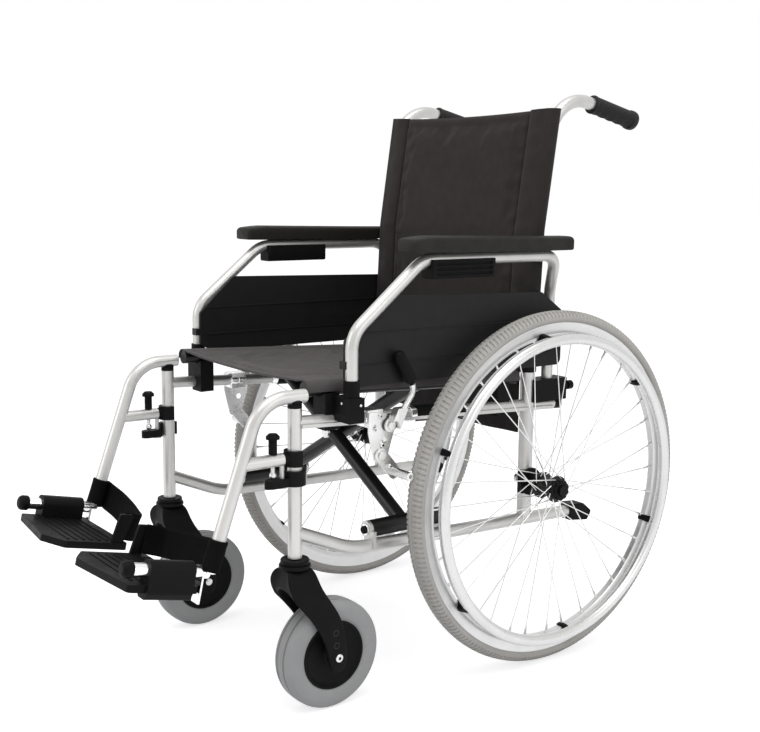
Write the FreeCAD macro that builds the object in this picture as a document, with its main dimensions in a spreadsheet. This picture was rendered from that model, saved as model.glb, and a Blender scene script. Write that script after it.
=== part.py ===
import FreeCAD, Part
import math
import os
import types

import Sketcher

# A folding wheelchair. The chair faces -Y, its user's left side is +X, and +Z is up.
# The origin lies on the floor, in the middle of the chair's length and width.
# Heights are above the floor. Places along Y are counted from the rear axle, forward negative.

LENGTHS = {
    # rear wheel
    "wheel_radius": 305.0,
    "wheel_x": 275.0,
    "tyre_width": 35.0,
    "tyre_seat": 41.0,
    "tyre_side": 24.0,
    "tyre_side_top": 8.0,
    "tyre_crown": 20.0,
    "tyre_round": 8.0,
    "rim_width": 24.0,
    "rim_lip": 31.0,
    "rim_lip_wall": 3.0,
    "rim_shoulder": 43.0,
    "rim_inner": 50.0,
    "rim_floor_width": 14.0,
    "seat_gap": 0.3,
    "spoke_radius": 1.0,
    "spoke_circle": 19.0,
    "spoke_inset": 3.1,
    "spoke_outset": 3.6,
    "spoke_rim_x": 3.0,
    "spoke_end_gap": 0.1,
    "hub_flange_x": 17.0,
    "hub_flange": 4.0,
    "hub_flange_radius": 23.0,
    "hub_barrel_radius": 14.0,
    "hub_end_radius": 15.5,
    "hub_half": 25.0,
    "hub_cap_radius": 18.0,
    "hub_cap": 5.0,
    "handrim_drop": 45.0,
    "handrim_x": 306.0,
    "handrim_tube": 19.0,
    "tab_width": 10.0,
    "tab_depth": 11.0,
    "tab_shift": 3.0,
    "axle_radius": 6.35,
    "running_gap": 0.05,
    "axle_button_radius": 9.0,
    "axle_button": 4.0,
    "axle_nut": 6.0,
    # caster
    "caster_radius": 87.3,
    "caster_width": 44.0,
    "caster_trail": 59.6,
    "caster_disc_radius": 55.0,
    "caster_disc_rim": 5.0,
    "caster_web": 6.0,
    "caster_boss_radius": 16.0,
    "caster_groove": 3.0,
    "caster_groove_x": 9.0,
    "caster_shoulder": 9.0,
    "caster_bolt_radius": 4.5,
    "caster_bolt_head": 7.0,
    "caster_bolt_head_length": 4.0,
    "fork_gap": 51.0,
    "fork_leg": 7.0,
    "fork_wheel_gap": 6.0,
    "fork_nose": 31.0,
    "fork_plan_round": 31.0,
    "fork_plan_rear": 110.0,
    "fork_back": 32.0,
    "fork_head_bottom": 205.0,
    "fork_head_top": 238.0,
    "fork_front_knee_y": 9.0,
    "fork_front_knee_z": 152.0,
    "fork_shin_y": 44.0,
    "fork_shin_z": 88.0,
    "fork_toe_y": 48.0,
    "fork_toe_z": 66.0,
    "fork_toe_round": 12.0,
    "fork_heel_y": 77.0,
    "fork_heel_round": 14.0,
    "fork_calf_y": 73.0,
    "fork_calf_z": 128.0,
    "fork_back_knee_y": 28.0,
    "fork_back_knee_z": 199.0,
    "fork_soft": 4.0,
    "fork_hole": 4.5,
    "fork_hole_step": 20.5,
    "fork_hole_shift": 3.0,
    "collar_radius": 20.5,
    "stem_radius": 6.0,
    "stem_depth": 60.0,
    # side frame
    "post_x": 213.0,
    "post_y": -477.6,
    "post_d": 22.0,
    "post_bottom": 252.0,
    "post_top": 484.0,
    "upper_d": 20.0,
    "upper_front_z": 461.5,
    "upper_rear_z": 436.5,
    "upper_rear_y": 60.0,
    "ledge_reach": 13.0,
    "ledge_height": 5.5,
    "ledge_drop": 7.7,
    "lower_d": 21.5,
    "lower_front_z": 291.5,
    "lower_bend_y": -372.0,
    "lower_bend_z": 246.5,
    "lower_bend_radius": 150.0,
    "lower_rear_y": 105.0,
    "lower_rear_z": 231.5,
    "rear_post_d": 25.0,
    "rear_post_top": 498.0,
    "frame_bolt_radius": 4.5,
    "frame_bolt_length": 5.0,
    "frame_bolt_front_y": -404.0,
    "frame_bolt_rear_y": -120.0,
    "cap_height": 6.4,
    "collar_ring": 14.0,
    "collar_wall": 2.0,
    "end_plug": 17.0,
    "tip_length": 56.0,
    "tip_drop": 6.0,
    "tip_width": 30.0,
    # back cane and push grip
    "cane_d": 22.0,
    "cane_depth": 60.0,
    "cane_bend_z": 742.0,
    "cane_bend_y": 10.0,
    "cane_low_radius": 90.0,
    "cane_mid_radius": 260.0,
    "handle_corner_y": 44.7,
    "handle_corner_z": 979.0,
    "handle_radius": 75.0,
    "handle_end_y": 234.0,
    "handle_end_z": 936.0,
    "grip_length": 112.0,
    "grip_radius": 15.5,
    "grip_groove": 1.6,
    "grip_end": 8.0,
    "grip_flare": 2.0,
    # cross brace and seat rails
    "brace_pivot_x": 205.0,
    "brace_pivot_z": 270.0,
    "sleeve_radius": 14.0,
    "sleeve_front_y": -332.0,
    "sleeve_rear_y": -196.0,
    "pin_radius": 8.0,
    "ear": 6.0,
    "ear_gap": 0.5,
    "ear_width": 26.0,
    "brace_d": 25.0,
    "brace_middle_y": -250.0,
    "brace_gap": 3.0,
    "brace_bolt_radius": 6.0,
    "brace_bolt_head": 10.0,
    "brace_bolt_head_length": 5.0,
    "rail_x": 200.0,
    "rail_front_y": -453.0,
    "rail_rear_y": -20.0,
    "rail_front_z": 508.0,
    "rail_rear_z": 487.3,
    "rail_radius": 11.0,
    "rail_cap_radius": 12.0,
    "rail_cap_length": 12.0,
    "saddle_front_y": -413.0,
    "saddle_rear_y": -60.0,
    "saddle_length": 26.0,
    "saddle_inner": 26.0,
    "saddle_wall": 5.0,
    "saddle_below_rail": 6.0,
    "soft_gap": 0.4,
    # seat and back canvas
    "canvas_sheet": 3.0,
    "seat_sag": 6.0,
    "seat_edge": 14.5,
    "seat_skirt": 3.5,
    "back_half": 227.4,
    "back_seam_x": 171.0,
    "back_top": 946.0,
    "back_bottom": 545.0,
    "back_middle": 9.0,
    "back_pocket": 2.6,
    "flap_half": 194.0,
    "flap_bottom": 386.0,
    "flap_y": -4.0,
    # armrest
    "arm_x": 247.0,
    "arm_d": 20.0,
    "arm_front_y": -398.0,
    "arm_foot_z": 468.0,
    "arm_knee_z": 592.0,
    "arm_top_z": 701.0,
    "arm_top_front_y": -264.0,
    "arm_top_rear_y": 24.0,
    "arm_heel_drop": 65.0,
    "arm_rear_x": 215.0,
    "arm_rear_y": 44.0,
    "arm_rear_foot_z": 452.0,
    "arm_knee_radius": 50.0,
    "arm_shoulder_radius": 60.0,
    "arm_elbow_radius": 36.0,
    "arm_heel_radius": 60.0,
    "pad_front_y": -301.0,
    "pad_rear_y": 42.0,
    "pad_bottom": 710.0,
    "pad_top": 735.0,
    "pad_width": 45.0,
    "pad_x": 251.5,
    "pad_nose": 10.0,
    "pad_slope": 18.0,
    "pad_soft": 6.0,
    "holder_front_y": -256.0,
    "holder_rear_y": -125.0,
    "holder_bottom": 671.0,
    "holder_width": 30.0,
    "holder_groove": 2.5,
    "holder_groove_height": 4.0,
    "holder_groove_pitch": 8.0,
    "holder_groove_low": 676.0,
    "holder_groove_inset": 8.0,
    "panel_x": 232.0,
    "panel_thick": 4.0,
    "panel_front_y": -402.0,
    "panel_bottom": 509.0,
    "panel_front_bottom": 524.0,
    "panel_front_top": 581.0,
    "panel_top": 646.0,
    "panel_top_rear": 638.0,
    "panel_slope_y": -332.0,
    "panel_corner_y": 7.0,
    "panel_corner_z": 604.0,
    "panel_rear_y": 57.0,
    "panel_round": 12.0,
    "panel_ridge": 1.5,
    "panel_ridge_high_z": 590.0,
    "panel_ridge_low_z": 541.0,
    "clip_length": 24.0,
    "clip_z": 540.0,
    "clip_height": 12.0,
    # armrest sockets
    "socket_gap": 0.1,
    "socket_radius": 12.6,
    "socket_top": 523.0,
    "socket_step": 497.0,
    "socket_bottom": 459.0,
    "socket_outer": 262.0,
    "socket_depth": 28.0,
    "rear_socket_top": 484.0,
    "rear_socket_reach": 78.0,
    "rear_socket_width": 32.0,
    "socket_knob_z": 466.0,
    "socket_pin_radius": 3.0,
    "socket_knob_radius": 8.0,
    "socket_knob_length": 26.0,
    "knob_gap": 0.4,
    "knob_soft": 2.0,
    # rear axle mount
    "mount_block_half": 17.0,
    "mount_block_height": 40.0,
    "mount_plate_x": 226.0,
    "mount_flange_radius": 24.0,
    "mount_flange": 4.0,
    "mount_boss_radius": 13.0,
    # brake
    "brake_clamp_ahead": 47.8,
    "brake_clamp_length": 29.0,
    "brake_plate_x": 229.0,
    "brake_plate": 3.0,
    "brake_step": 0.4,
    "brake_lever_ahead": 9.8,
    "brake_lever_z": 443.0,
    "brake_arm_ahead": 24.8,
    "brake_arm_z": 396.0,
    "brake_pin_gap": 0.41,
    "brake_pin_radius": 7.0,
    "brake_pin_end_x": 277.5,
    "brake_hole": 3.2,
    "brake_window": 5.1,
    "brake_bolt_radius": 4.0,
    "brake_bolt_head": 6.5,
    "brake_bolt_head_length": 3.0,
    "brake_tab": 11.0,
    "lever_x": 246.0,
    "lever_d": 10.0,
    "lever_kink_back": 31.2,
    "lever_kink_z": 499.0,
    "lever_top_back": 0.2,
    "lever_top_z": 550.0,
    "lever_bend_radius": 22.0,
    "lever_grip_radius": 10.0,
    "lever_grip_length": 50.0,
    # leg hanger
    "hanger_d": 21.0,
    "hanger_top_z": 501.0,
    "hanger_rear_y": -459.6,
    "hanger_bend_radius": 62.0,
    "hanger_end_z": 284.0,
    "hanger_pin_radius": 7.0,
    "hanger_pin_depth": 30.0,
    "arm_bar_d": 19.5,
    "arm_bar_z": 408.0,
    "hug_radius": 17.0,
    "hug_height": 24.0,
    "hug_gap": 0.3,
    "hug_stub": 22.0,
    "hug_open": 4.0,
    "hanger_knob_y": -516.0,
    "hanger_knob_head": 10.5,
    "hanger_knob_head_height": 8.0,
    "hanger_knob_stem": 6.5,
    "hanger_knob_top": 449.0,
    "hanger_ball": 5.5,
    "hanger_ball_z": 385.5,
    "latch_bottom": 366.0,
    "latch_top": 389.0,
    "latch_nose_top": 379.0,
    "latch_nose_y": -529.0,
    "latch_width": 17.0,
    "latch_pivot_y": -500.0,
    "latch_pin_radius": 3.5,
    "latch_swing": 6.5,
    # footrest
    "foot_x": 207.0,
    "foot_z": 256.0,
    "foot_reach": 146.1,
    "foot_overhang": 146.45,
    "foot_bar": 128.3,
    "foot_axle_radius": 10.0,
    "foot_knob_radius": 12.5,
    "foot_knob_half": 8.5,
    "foot_knob_round": 7.5,
    "foot_knob_edge": 3.0,
    "extension_radius": 9.0,
    "extension_reach": 150.0,
    "foot_sleeve_start": 26.0,
    "foot_sleeve_length": 72.0,
    "foot_sleeve_radius": 15.0,
    "foot_sleeve_drop": 41.0,
    "plate_top": 20.0,
    "plate_thick": 11.0,
    "plate_inner_x": 30.0,
    "plate_rear": 13.3,
    "plate_inner_front": 119.0,
    "plate_nose_x": 71.0,
    "plate_nose": 143.4,
    "plate_outer_front": 125.0,
    "plate_outer_x": 216.0,
    "plate_round": 7.0,
    "rib_height": 1.6,
    "rib_width": 3.0,
    "rib_pitch": 13.0,
    "rib_start": 30.0,
    "rib_inner": 12.0,
    "stop_thick": 3.0,
    "stop_width": 20.0,
    "stop_start": 9.5,
    "stop_drop": 46.0,
    "heel_post_x": 35.0,
    "heel_post_thick": 6.0,
    "heel_post_width": 18.0,
    "heel_post_start": 24.0,
    "heel_post_rise": 52.0,
    "heel_post_lean": 14.0,
    "strap_thick": 3.0,
    "strap_height": 47.0,
    "strap_low_z": 258.0,
    "strap_bow": 14.0,
    "strap_forward": 26.0,
    "strap_inner_x": 40.1,
    "strap_corner_y": 3.0,
    "strap_corner_round": 8.0,
    "strap_gap": 0.8,
    # one overrun for every cut
    "overrun": 2.0,
}
ANGLES = {
    "spoke_turn": 58.0,
    "hanger_lean": 19.5,
    "foot_tilt": 12.5,
    "strap_tilt": 7.5,
    "brake_pin_turn": 11.446,
}
# parts of another size, each a plain fraction of it
SHARES = {
    "arm_round_share": 0.8,
    "tip_shoulder_share": 0.6,
    "tip_slim_share": 0.8,
    "groove_wall_share": 0.5,
    "groove_floor_share": 0.6,
    "groove_end_share": 0.9,
    "lever_foot_share": 0.3,
    "lever_heel_share": 0.8,
    "lever_neck_share": 0.6,
    "lever_back_share": 1.2,
    "lever_toe_share": 0.9,
    "lever_toe_drop_share": 0.4,
    "lever_grip_start_share": 0.85,
    "lever_grip_bar_share": 0.9,
    "sleeve_top_share": 0.9,
    "sleeve_side_share": 0.75,
    "sleeve_bend_share": 0.5,
    "sleeve_foot_share": 0.6,
    "sleeve_toe_share": 0.3,
    "heel_post_top_share": 0.6,
    "strap_wrap_share": 1.2,
    "strap_middle_share": 0.5,
    "strap_bow_share": 0.6,
    "seat_shoulder_share": 0.9,
    "seat_shoulder_rise_share": 0.6,
    "seat_shoulder_round_share": 0.3,
    "seat_crown_round_share": 0.8,
    "seat_quarter_share": 0.6,
    "seat_quarter_round_share": 0.4,
    "seat_tuck_share": 0.55,
    "seat_tuck_rise_share": 0.75,
    "back_foot_share": 0.2,
}
SPOKES = 36
TABS = 6
TAB_START = 42.0
FOOT_RIBS = 7
GRIP_GROOVES = 9
HOLDER_GROOVES = 3
FORK_HOLES = 2

doc = FreeCAD.newDocument("Wheelchair")
V = FreeCAD.Vector
X_AXIS = V(1, 0, 0)
Y_AXIS = V(0, 1, 0)
Z_AXIS = V(0, 0, 1)
FULL_TURN = 360.0
QUARTER_TURN = FULL_TURN / 4
TINY = 1e-3


class Size:
    """A size that keeps its value and the expression that it comes from."""

    def __init__(self, value, text):
        self.value = value
        self.text = text

    def join(self, other, sign, value):
        return Size(value, f"({self.text} {sign} {sized(other).text})")

    def __add__(self, other):
        return self.join(other, "+", self.value + sized(other).value)

    def __sub__(self, other):
        return self.join(other, "-", self.value - sized(other).value)

    def __mul__(self, other):
        return self.join(other, "*", self.value * sized(other).value)

    def __truediv__(self, other):
        return self.join(other, "/", self.value / sized(other).value)

    def __neg__(self):
        return Size(-self.value, f"(0 - {self.text})")


def sized(value):
    """A plain number as a Size."""
    return value if isinstance(value, Size) else Size(float(value), repr(float(value)))


def sine(angle):
    return Size(math.sin(math.radians(angle.value)), f"sin({angle.text})")


def cosine(angle):
    return Size(math.cos(math.radians(angle.value)), f"cos({angle.text})")


def tangent(angle):
    return Size(math.tan(math.radians(angle.value)), f"tan({angle.text})")


def slope(rise, run):
    """The angle of a line, in degrees."""
    return Size(math.degrees(math.atan2(rise.value, run.value)), f"atan2({rise.text}; {run.text}) / 1 deg")


def length_of(a, b):
    """The length of a slanted line with sides a and b."""
    return Size(math.hypot(a.value, b.value), f"sqrt({a.text} ^ 2 + {b.text} ^ 2)")


def make_sheet():
    """The spreadsheet that holds the driving sizes, and a handle on each."""
    sheet = doc.addObject("Spreadsheet::Sheet", "Sizes")
    handles = {}
    for row, (name, value) in enumerate({**LENGTHS, **ANGLES, **SHARES}.items(), start=1):
        sheet.set(f"A{row}", name)
        sheet.set(f"B{row}", str(value))
        sheet.setAlias(f"B{row}", name)
        handles[name] = Size(value, f"Sizes.{name}")
    doc.recompute()
    return types.SimpleNamespace(**handles)


s = make_sheet()
ZERO = sized(0)
FOOT_Y = s.post_y - s.foot_reach
AXLE_Y = -(FOOT_Y - s.foot_overhang + s.wheel_radius) / 2


def along(y):
    """A place along the chair, counted from the rear axle, in the chair's own frame."""
    return AXLE_Y + y


def put(thing, x, y, z, axis=None, angle=None):
    """Places an object and binds the place to the sheet."""
    turn = FreeCAD.Rotation(axis, angle.value) if axis else thing.Placement.Rotation
    thing.Placement = FreeCAD.Placement(V(x.value, y.value, z.value), turn)
    thing.setExpression("Placement.Base.x", x.text)
    thing.setExpression("Placement.Base.y", y.text)
    thing.setExpression("Placement.Base.z", z.text)
    if axis:
        thing.setExpression("Placement.Rotation.Angle", f"({angle.text}) * 1 deg")
    return thing


TURNS = {
    "x": FreeCAD.Rotation(Y_AXIS, QUARTER_TURN),
    "y": FreeCAD.Rotation(X_AXIS, -QUARTER_TURN),
    "z": FreeCAD.Rotation(),
}


def rod(name, radius, length, x, y, z, direction="z"):
    """A round bar from a point, along an axis."""
    thing = doc.addObject("Part::Cylinder", name)
    thing.Placement = FreeCAD.Placement(V(), TURNS[direction])
    thing.setExpression("Radius", radius.text)
    thing.setExpression("Height", length.text)
    return put(thing, x, y, z)


def leaning_rod(name, radius, length, x, y, z, axis, angle):
    """A round bar from a point, turned from +Z about an axis."""
    thing = doc.addObject("Part::Cylinder", name)
    thing.setExpression("Radius", radius.text)
    thing.setExpression("Height", length.text)
    return put(thing, x, y, z, axis, angle)


def block(name, low, high):
    """A box between two corners."""
    thing = doc.addObject("Part::Box", name)
    for side, a, b in zip(("Length", "Width", "Height"), low, high):
        thing.setExpression(side, (b - a).text)
    return put(thing, *low)


def ball(name, radius, x, y, z):
    thing = doc.addObject("Part::Sphere", name)
    thing.setExpression("Radius", radius.text)
    return put(thing, x, y, z)


def fuse(name, *pieces):
    thing = doc.addObject("Part::MultiFuse", name)
    thing.Shapes = list(pieces)
    return thing


def cut(name, base, *tools):
    """The base with every tool taken out of it."""
    thing = doc.addObject("Part::Cut", name)
    thing.Base = base
    thing.Tool = tools[0] if len(tools) == 1 else fuse(name + "_tools", *tools)
    return thing


def group(name, *pieces):
    """Separate solids that share one node."""
    thing = doc.addObject("Part::Compound", name)
    thing.Links = list(pieces)
    return thing


def mirrored(name, source):
    """The same piece on the user's right."""
    thing = doc.addObject("Part::Mirroring", name)
    thing.Source = source
    thing.Normal = X_AXIS
    return thing


def body(name):
    return doc.addObject("PartDesign::Body", name)


def sketch_in(owner, role, name, offset=ZERO):
    """A sketch on one of a body's own planes, moved along the plane's normal."""
    plane = next(f for f in owner.Origin.OriginFeatures if f.Role == role)
    sketch = owner.newObject("Sketcher::SketchObject", name)
    sketch.AttachmentSupport = [(plane, "")]
    sketch.MapMode = "FlatFace"
    sketch.setExpression(".AttachmentOffset.Base.z", offset.text)
    return sketch


def bind_place(sketch, geometry, point, u, v):
    """Ties a point of a sketch to the sketch's origin."""
    for kind, size in (("DistanceX", u), ("DistanceY", v)):
        index = sketch.addConstraint(Sketcher.Constraint(kind, -1, 1, geometry, point, size.value))
        sketch.setExpression(f"Constraints[{index}]", size.text)


def trim(before, corner, after, radius):
    """Where a rounded corner's arc meets its two lines, and the arc's centre."""
    a = (before - corner).normalize()
    b = (after - corner).normalize()
    half = a.getAngle(b) / 2
    reach = radius / math.tan(half)
    middle = (a + b).normalize() * (radius / math.sin(half))
    return corner + a * reach, corner + b * reach, corner + middle


def outline(sketch, corners, closed=True):
    """Straight lines through the corners. A corner with a third size is rounded by that radius."""
    count = len(corners)
    places = [V(c[0].value, c[1].value, 0) for c in corners]
    starts = list(places)
    ends = list(places)
    centres = {}
    for i, corner in enumerate(corners):
        if len(corner) == 3:
            before = places[(i - 1) % count]
            after = places[(i + 1) % count]
            ends[i], starts[i], centres[i] = trim(before, places[i], after, corner[2].value)
    lines = count if closed else count - 1
    for i in range(lines):
        sketch.addGeometry(Part.LineSegment(starts[i], ends[(i + 1) % count]))
    for i, corner in enumerate(corners):
        first, last = (i - 1) % count, i
        if i in centres:
            sketch.addGeometry(Part.Point(places[i]), True)
            mark = sketch.GeometryCount - 1
            bind_place(sketch, mark, 1, corner[0], corner[1])
            sketch.addConstraint(Sketcher.Constraint("PointOnObject", mark, 1, first))
            sketch.addConstraint(Sketcher.Constraint("PointOnObject", mark, 1, last))
            add_arc(sketch, ends[i], starts[i], centres[i], corner[2], first, last)
        elif closed or 0 < i < count - 1:
            sketch.addConstraint(Sketcher.Constraint("Coincident", first, 2, last, 1))
            bind_place(sketch, last, 1, corner[0], corner[1])
        else:
            bind_place(sketch, 0 if i == 0 else lines - 1, 1 if i == 0 else 2, corner[0], corner[1])
    return sketch


def add_arc(sketch, start, end, centre, radius, first, last):
    """A rounded corner's arc, tangent to the line before it and the line after it."""
    a = math.atan2(start.y - centre.y, start.x - centre.x)
    b = math.atan2(end.y - centre.y, end.x - centre.x)
    turns_left = (start - centre).cross(end - centre).z > 0
    if not turns_left:
        a, b = b, a
    if b < a:
        b += 2 * math.pi
    sketch.addGeometry(Part.ArcOfCircle(Part.Circle(centre, Z_AXIS, radius.value), a, b))
    arc = sketch.GeometryCount - 1
    near, far = (1, 2) if turns_left else (2, 1)
    sketch.addConstraint(Sketcher.Constraint("Tangent", first, 2, arc, near))
    sketch.addConstraint(Sketcher.Constraint("Tangent", last, 1, arc, far))
    index = sketch.addConstraint(Sketcher.Constraint("Radius", arc, radius.value))
    sketch.setExpression(f"Constraints[{index}]", radius.text)


def circle(sketch, radius, u=ZERO, v=ZERO):
    sketch.addGeometry(Part.Circle(V(u.value, v.value, 0), Z_AXIS, radius.value))
    mark = sketch.GeometryCount - 1
    bind_place(sketch, mark, 3, u, v)
    index = sketch.addConstraint(Sketcher.Constraint("Radius", mark, radius.value))
    sketch.setExpression(f"Constraints[{index}]", radius.text)
    return sketch


def pad(owner, sketch, length, symmetric=False, name="Pad"):
    feature = owner.newObject("PartDesign::Pad", owner.Name + "_" + name)
    feature.Profile = sketch
    feature.SideType = "Symmetric" if symmetric else "One side"
    feature.setExpression("Length", length.text)
    return feature


def pocket_through(owner, sketch, name="Pocket"):
    """A pocket right through, both ways."""
    feature = owner.newObject("PartDesign::Pocket", owner.Name + "_" + name)
    feature.Profile = sketch
    feature.Type = "ThroughAll"
    feature.SideType = "Symmetric"
    return feature


def revolve(name, corners, role="XZ_Plane", axis="H_Axis"):
    """A body turned about its own X axis, or its Z axis for V_Axis."""
    owner = body(name)
    profile = outline(sketch_in(owner, role, name + "_profile"), corners)
    feature = owner.newObject("PartDesign::Revolution", name + "_turned")
    feature.Profile = profile
    feature.ReferenceAxis = (profile, [axis])
    feature.Angle = FULL_TURN
    return owner


def bent_tube(name, x, corners, radius):
    """A tube along a bent path in a plane of constant X; the path's corners are (y, z, bend radius)."""
    owner = body(name)
    path = outline(sketch_in(owner, "YZ_Plane", name + "_path", x), corners, closed=False)
    section = owner.newObject("Sketcher::SketchObject", name + "_section")
    section.AttachmentSupport = [(path, "Edge1")]
    section.MapMode = "NormalToEdge"
    circle(section, radius)
    feature = owner.newObject("PartDesign::AdditivePipe", name + "_tube")
    feature.Profile = section
    feature.Spine = (path, [""])
    return owner


def fillet(owner, radius, wanted, name="Fillet"):
    """Rounds the edges of a body's last feature for which the test is true."""
    doc.recompute()
    last = owner.Tip
    edges = [f"Edge{i + 1}" for i, edge in enumerate(last.Shape.Edges) if wanted(edge)]
    feature = owner.newObject("PartDesign::Fillet", owner.Name + "_" + name)
    feature.Base = (last, edges)
    feature.setExpression("Radius", radius.text)
    return owner


def plain_path(corners, radii):
    """A path in space of straight runs joined by tangent arcs."""
    points = [V(*(c.value for c in corner)) for corner in corners]
    edges = []
    start = points[0]
    for i, radius in enumerate(radii, start=1):
        first, last, centre = trim(points[i - 1], points[i], points[i + 1], radius.value)
        middle = centre + (points[i] - centre).normalize() * radius.value
        edges.append(Part.LineSegment(start, first).toShape())
        edges.append(Part.Arc(first, middle, last).toShape())
        start = last
    edges.append(Part.LineSegment(start, points[-1]).toShape())
    return Part.Wire(edges)


def space_tube(name, corners, radii, radius):
    """A tube bent in more than one plane."""
    path = plain_path(corners, radii)
    first = path.Edges[0]
    section = Part.Wire(Part.Circle(first.firstVertex().Point, first.tangentAt(0), radius.value).toShape())
    thing = doc.addObject("Part::Feature", name)
    thing.Shape = path.makePipeShell([section], True, False)
    return thing


nodes = {}


def add(name, thing):
    """Makes a piece a node."""
    thing.Label = name
    nodes[name] = thing
    return thing


def add_pair(name, thing):
    """Makes a piece and its mirror image the left and right nodes."""
    add("left_" + name, thing)
    add("right_" + name, mirrored(thing.Name + "_mirror", thing))
    return thing


# places that several pieces share
POST_Y = along(s.post_y)
UPPER_SLOPE = slope(s.upper_front_z - s.upper_rear_z, s.upper_rear_y - s.post_y)
LOWER_SLOPE = slope(s.lower_bend_z - s.lower_rear_z, s.lower_rear_y - s.lower_bend_y)
RAIL_SLOPE = slope(s.rail_front_z - s.rail_rear_z, s.rail_rear_y - s.rail_front_y)
CASTER_Y = s.post_y + s.caster_trail
STEM_TOP = s.post_bottom + s.stem_depth
HANGER_CORNER_Y = FOOT_Y + tangent(s.hanger_lean) * (s.hanger_top_z - s.foot_z)
HANDRIM_RADIUS = s.wheel_radius - s.handrim_drop
BRAKE_PIN_REACH = s.wheel_radius + s.brake_pin_radius + s.brake_pin_gap
BRAKE_PIN_Y = -cosine(s.brake_pin_turn) * BRAKE_PIN_REACH
BRAKE_PIN_Z = s.wheel_radius + sine(s.brake_pin_turn) * BRAKE_PIN_REACH
BRAKE_ARM_Y = BRAKE_PIN_Y - s.brake_arm_ahead
BRAKE_LEVER_Y = BRAKE_PIN_Y - s.brake_lever_ahead
BRAKE_CLAMP_FRONT_Y = BRAKE_PIN_Y - s.brake_clamp_ahead
BRAKE_CLAMP_REAR_Y = BRAKE_CLAMP_FRONT_Y + s.brake_clamp_length
LEVER_KINK_Y = BRAKE_PIN_Y + s.lever_kink_back
LEVER_TOP_Y = BRAKE_PIN_Y + s.lever_top_back


def upper_z(y):
    """The height of the upper side tube's middle at a place along the chair."""
    return s.upper_front_z - tangent(UPPER_SLOPE) * (y - s.post_y)


def lower_z(y):
    """The height of the lower side tube's middle behind its bend."""
    return s.lower_bend_z - tangent(LOWER_SLOPE) * (y - s.lower_bend_y)


def rail_z(y):
    return s.rail_front_z - tangent(RAIL_SLOPE) * (y - s.rail_front_y)


BRACE_RISE = rail_z(s.brace_middle_y) - s.brace_pivot_z
BRACE_RUN = s.brace_pivot_x + s.rail_x
BRACE_LEAN = sized(QUARTER_TURN) - slope(BRACE_RISE, BRACE_RUN)
BRACE_Z = s.brace_pivot_z + BRACE_RISE * s.brace_pivot_x / BRACE_RUN


def hanger_y(z):
    """Where the hanger's straight shin is at a height."""
    return FOOT_Y + tangent(s.hanger_lean) * (z - s.foot_z)


def sloping(name, radius, front_y, rear_y, height, angle, x):
    """A round bar along the chair that falls to the rear by an angle; height gives its middle at a place."""
    run = (rear_y - front_y) / cosine(angle)
    lean = sized(QUARTER_TURN) - angle
    return leaning_rod(name, radius, run, x, along(rear_y), height(rear_y), X_AXIS, lean)


def make_side_frame():
    """The welded side frame: two posts and two side tubes, with the cross brace's hinge ears and pin."""
    post = rod("front_post", s.post_d / 2, s.post_top - s.post_bottom, s.post_x, POST_Y, s.post_bottom)
    rear_bottom = lower_z(ZERO) - s.lower_d / 8
    rear = rod("rear_post", s.rear_post_d / 2, s.rear_post_top - rear_bottom, s.post_x, AXLE_Y, rear_bottom)
    upper = sloping("upper_tube", s.upper_d / 2, s.post_y, s.upper_rear_y, upper_z, UPPER_SLOPE, s.post_x)
    ledge = doc.addObject("Part::Box", "upper_ledge")
    ledge.setExpression("Length", s.ledge_reach.text)
    ledge.setExpression("Width", (s.upper_rear_y - s.post_y - s.post_d / 2).text)
    ledge.setExpression("Height", s.ledge_height.text)
    inside = s.post_d / 4
    put(ledge, s.post_x, POST_Y + inside, upper_z(s.post_y + inside) - s.ledge_drop, X_AXIS, -UPPER_SLOPE)
    lower = bent_tube(
        "lower_tube",
        s.post_x,
        [
            (POST_Y, s.lower_front_z),
            (along(s.lower_bend_y), s.lower_bend_z, s.lower_bend_radius),
            (along(s.lower_rear_y), s.lower_rear_z),
        ],
        s.lower_d / 2,
    )
    bolts = [
        rod(f"frame_bolt_{i}", s.frame_bolt_radius, s.upper_d / 2 + s.frame_bolt_length, s.post_x, along(y),
            upper_z(y) - s.upper_d / 2 - s.frame_bolt_length)
        for i, y in enumerate((s.frame_bolt_front_y, s.frame_bolt_rear_y))
    ]
    pin_y = s.sleeve_front_y - s.ear_gap - s.ear
    ears = [make_ear(i, y) for i, y in enumerate((pin_y, s.sleeve_rear_y + s.ear_gap))]
    pin_length = s.sleeve_rear_y - s.sleeve_front_y + (s.ear_gap + s.ear) * 2
    pin = rod("brace_pin", s.pin_radius, pin_length, s.brace_pivot_x, along(pin_y), s.brace_pivot_z, "y")
    whole = fuse("side_frame_whole", post, rear, upper, ledge, lower, pin, *bolts, *ears)
    stem_bore = rod("stem_bore", s.stem_radius + s.running_gap, s.stem_depth + s.overrun, s.post_x, POST_Y,
                    s.post_bottom - s.overrun + s.knob_gap)
    hanger_bore = rod(
        "hanger_bore", s.hanger_pin_radius + s.running_gap, s.hanger_pin_depth + s.overrun, s.post_x,
        POST_Y, s.post_top - s.hanger_pin_depth,
    )
    cane_bore = rod("cane_bore", s.cane_d / 2, s.cane_depth + s.overrun, s.post_x, AXLE_Y,
                    s.rear_post_top - s.cane_depth)
    axle_bore = rod("frame_axle_bore", s.axle_radius, s.rear_post_d + s.overrun * 2,
                    s.post_x - s.rear_post_d / 2 - s.overrun, AXLE_Y, s.wheel_radius, "x")
    return add_pair("side_frame", cut("side_frame", whole, stem_bore, hanger_bore, cane_bore, axle_bore))


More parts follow.
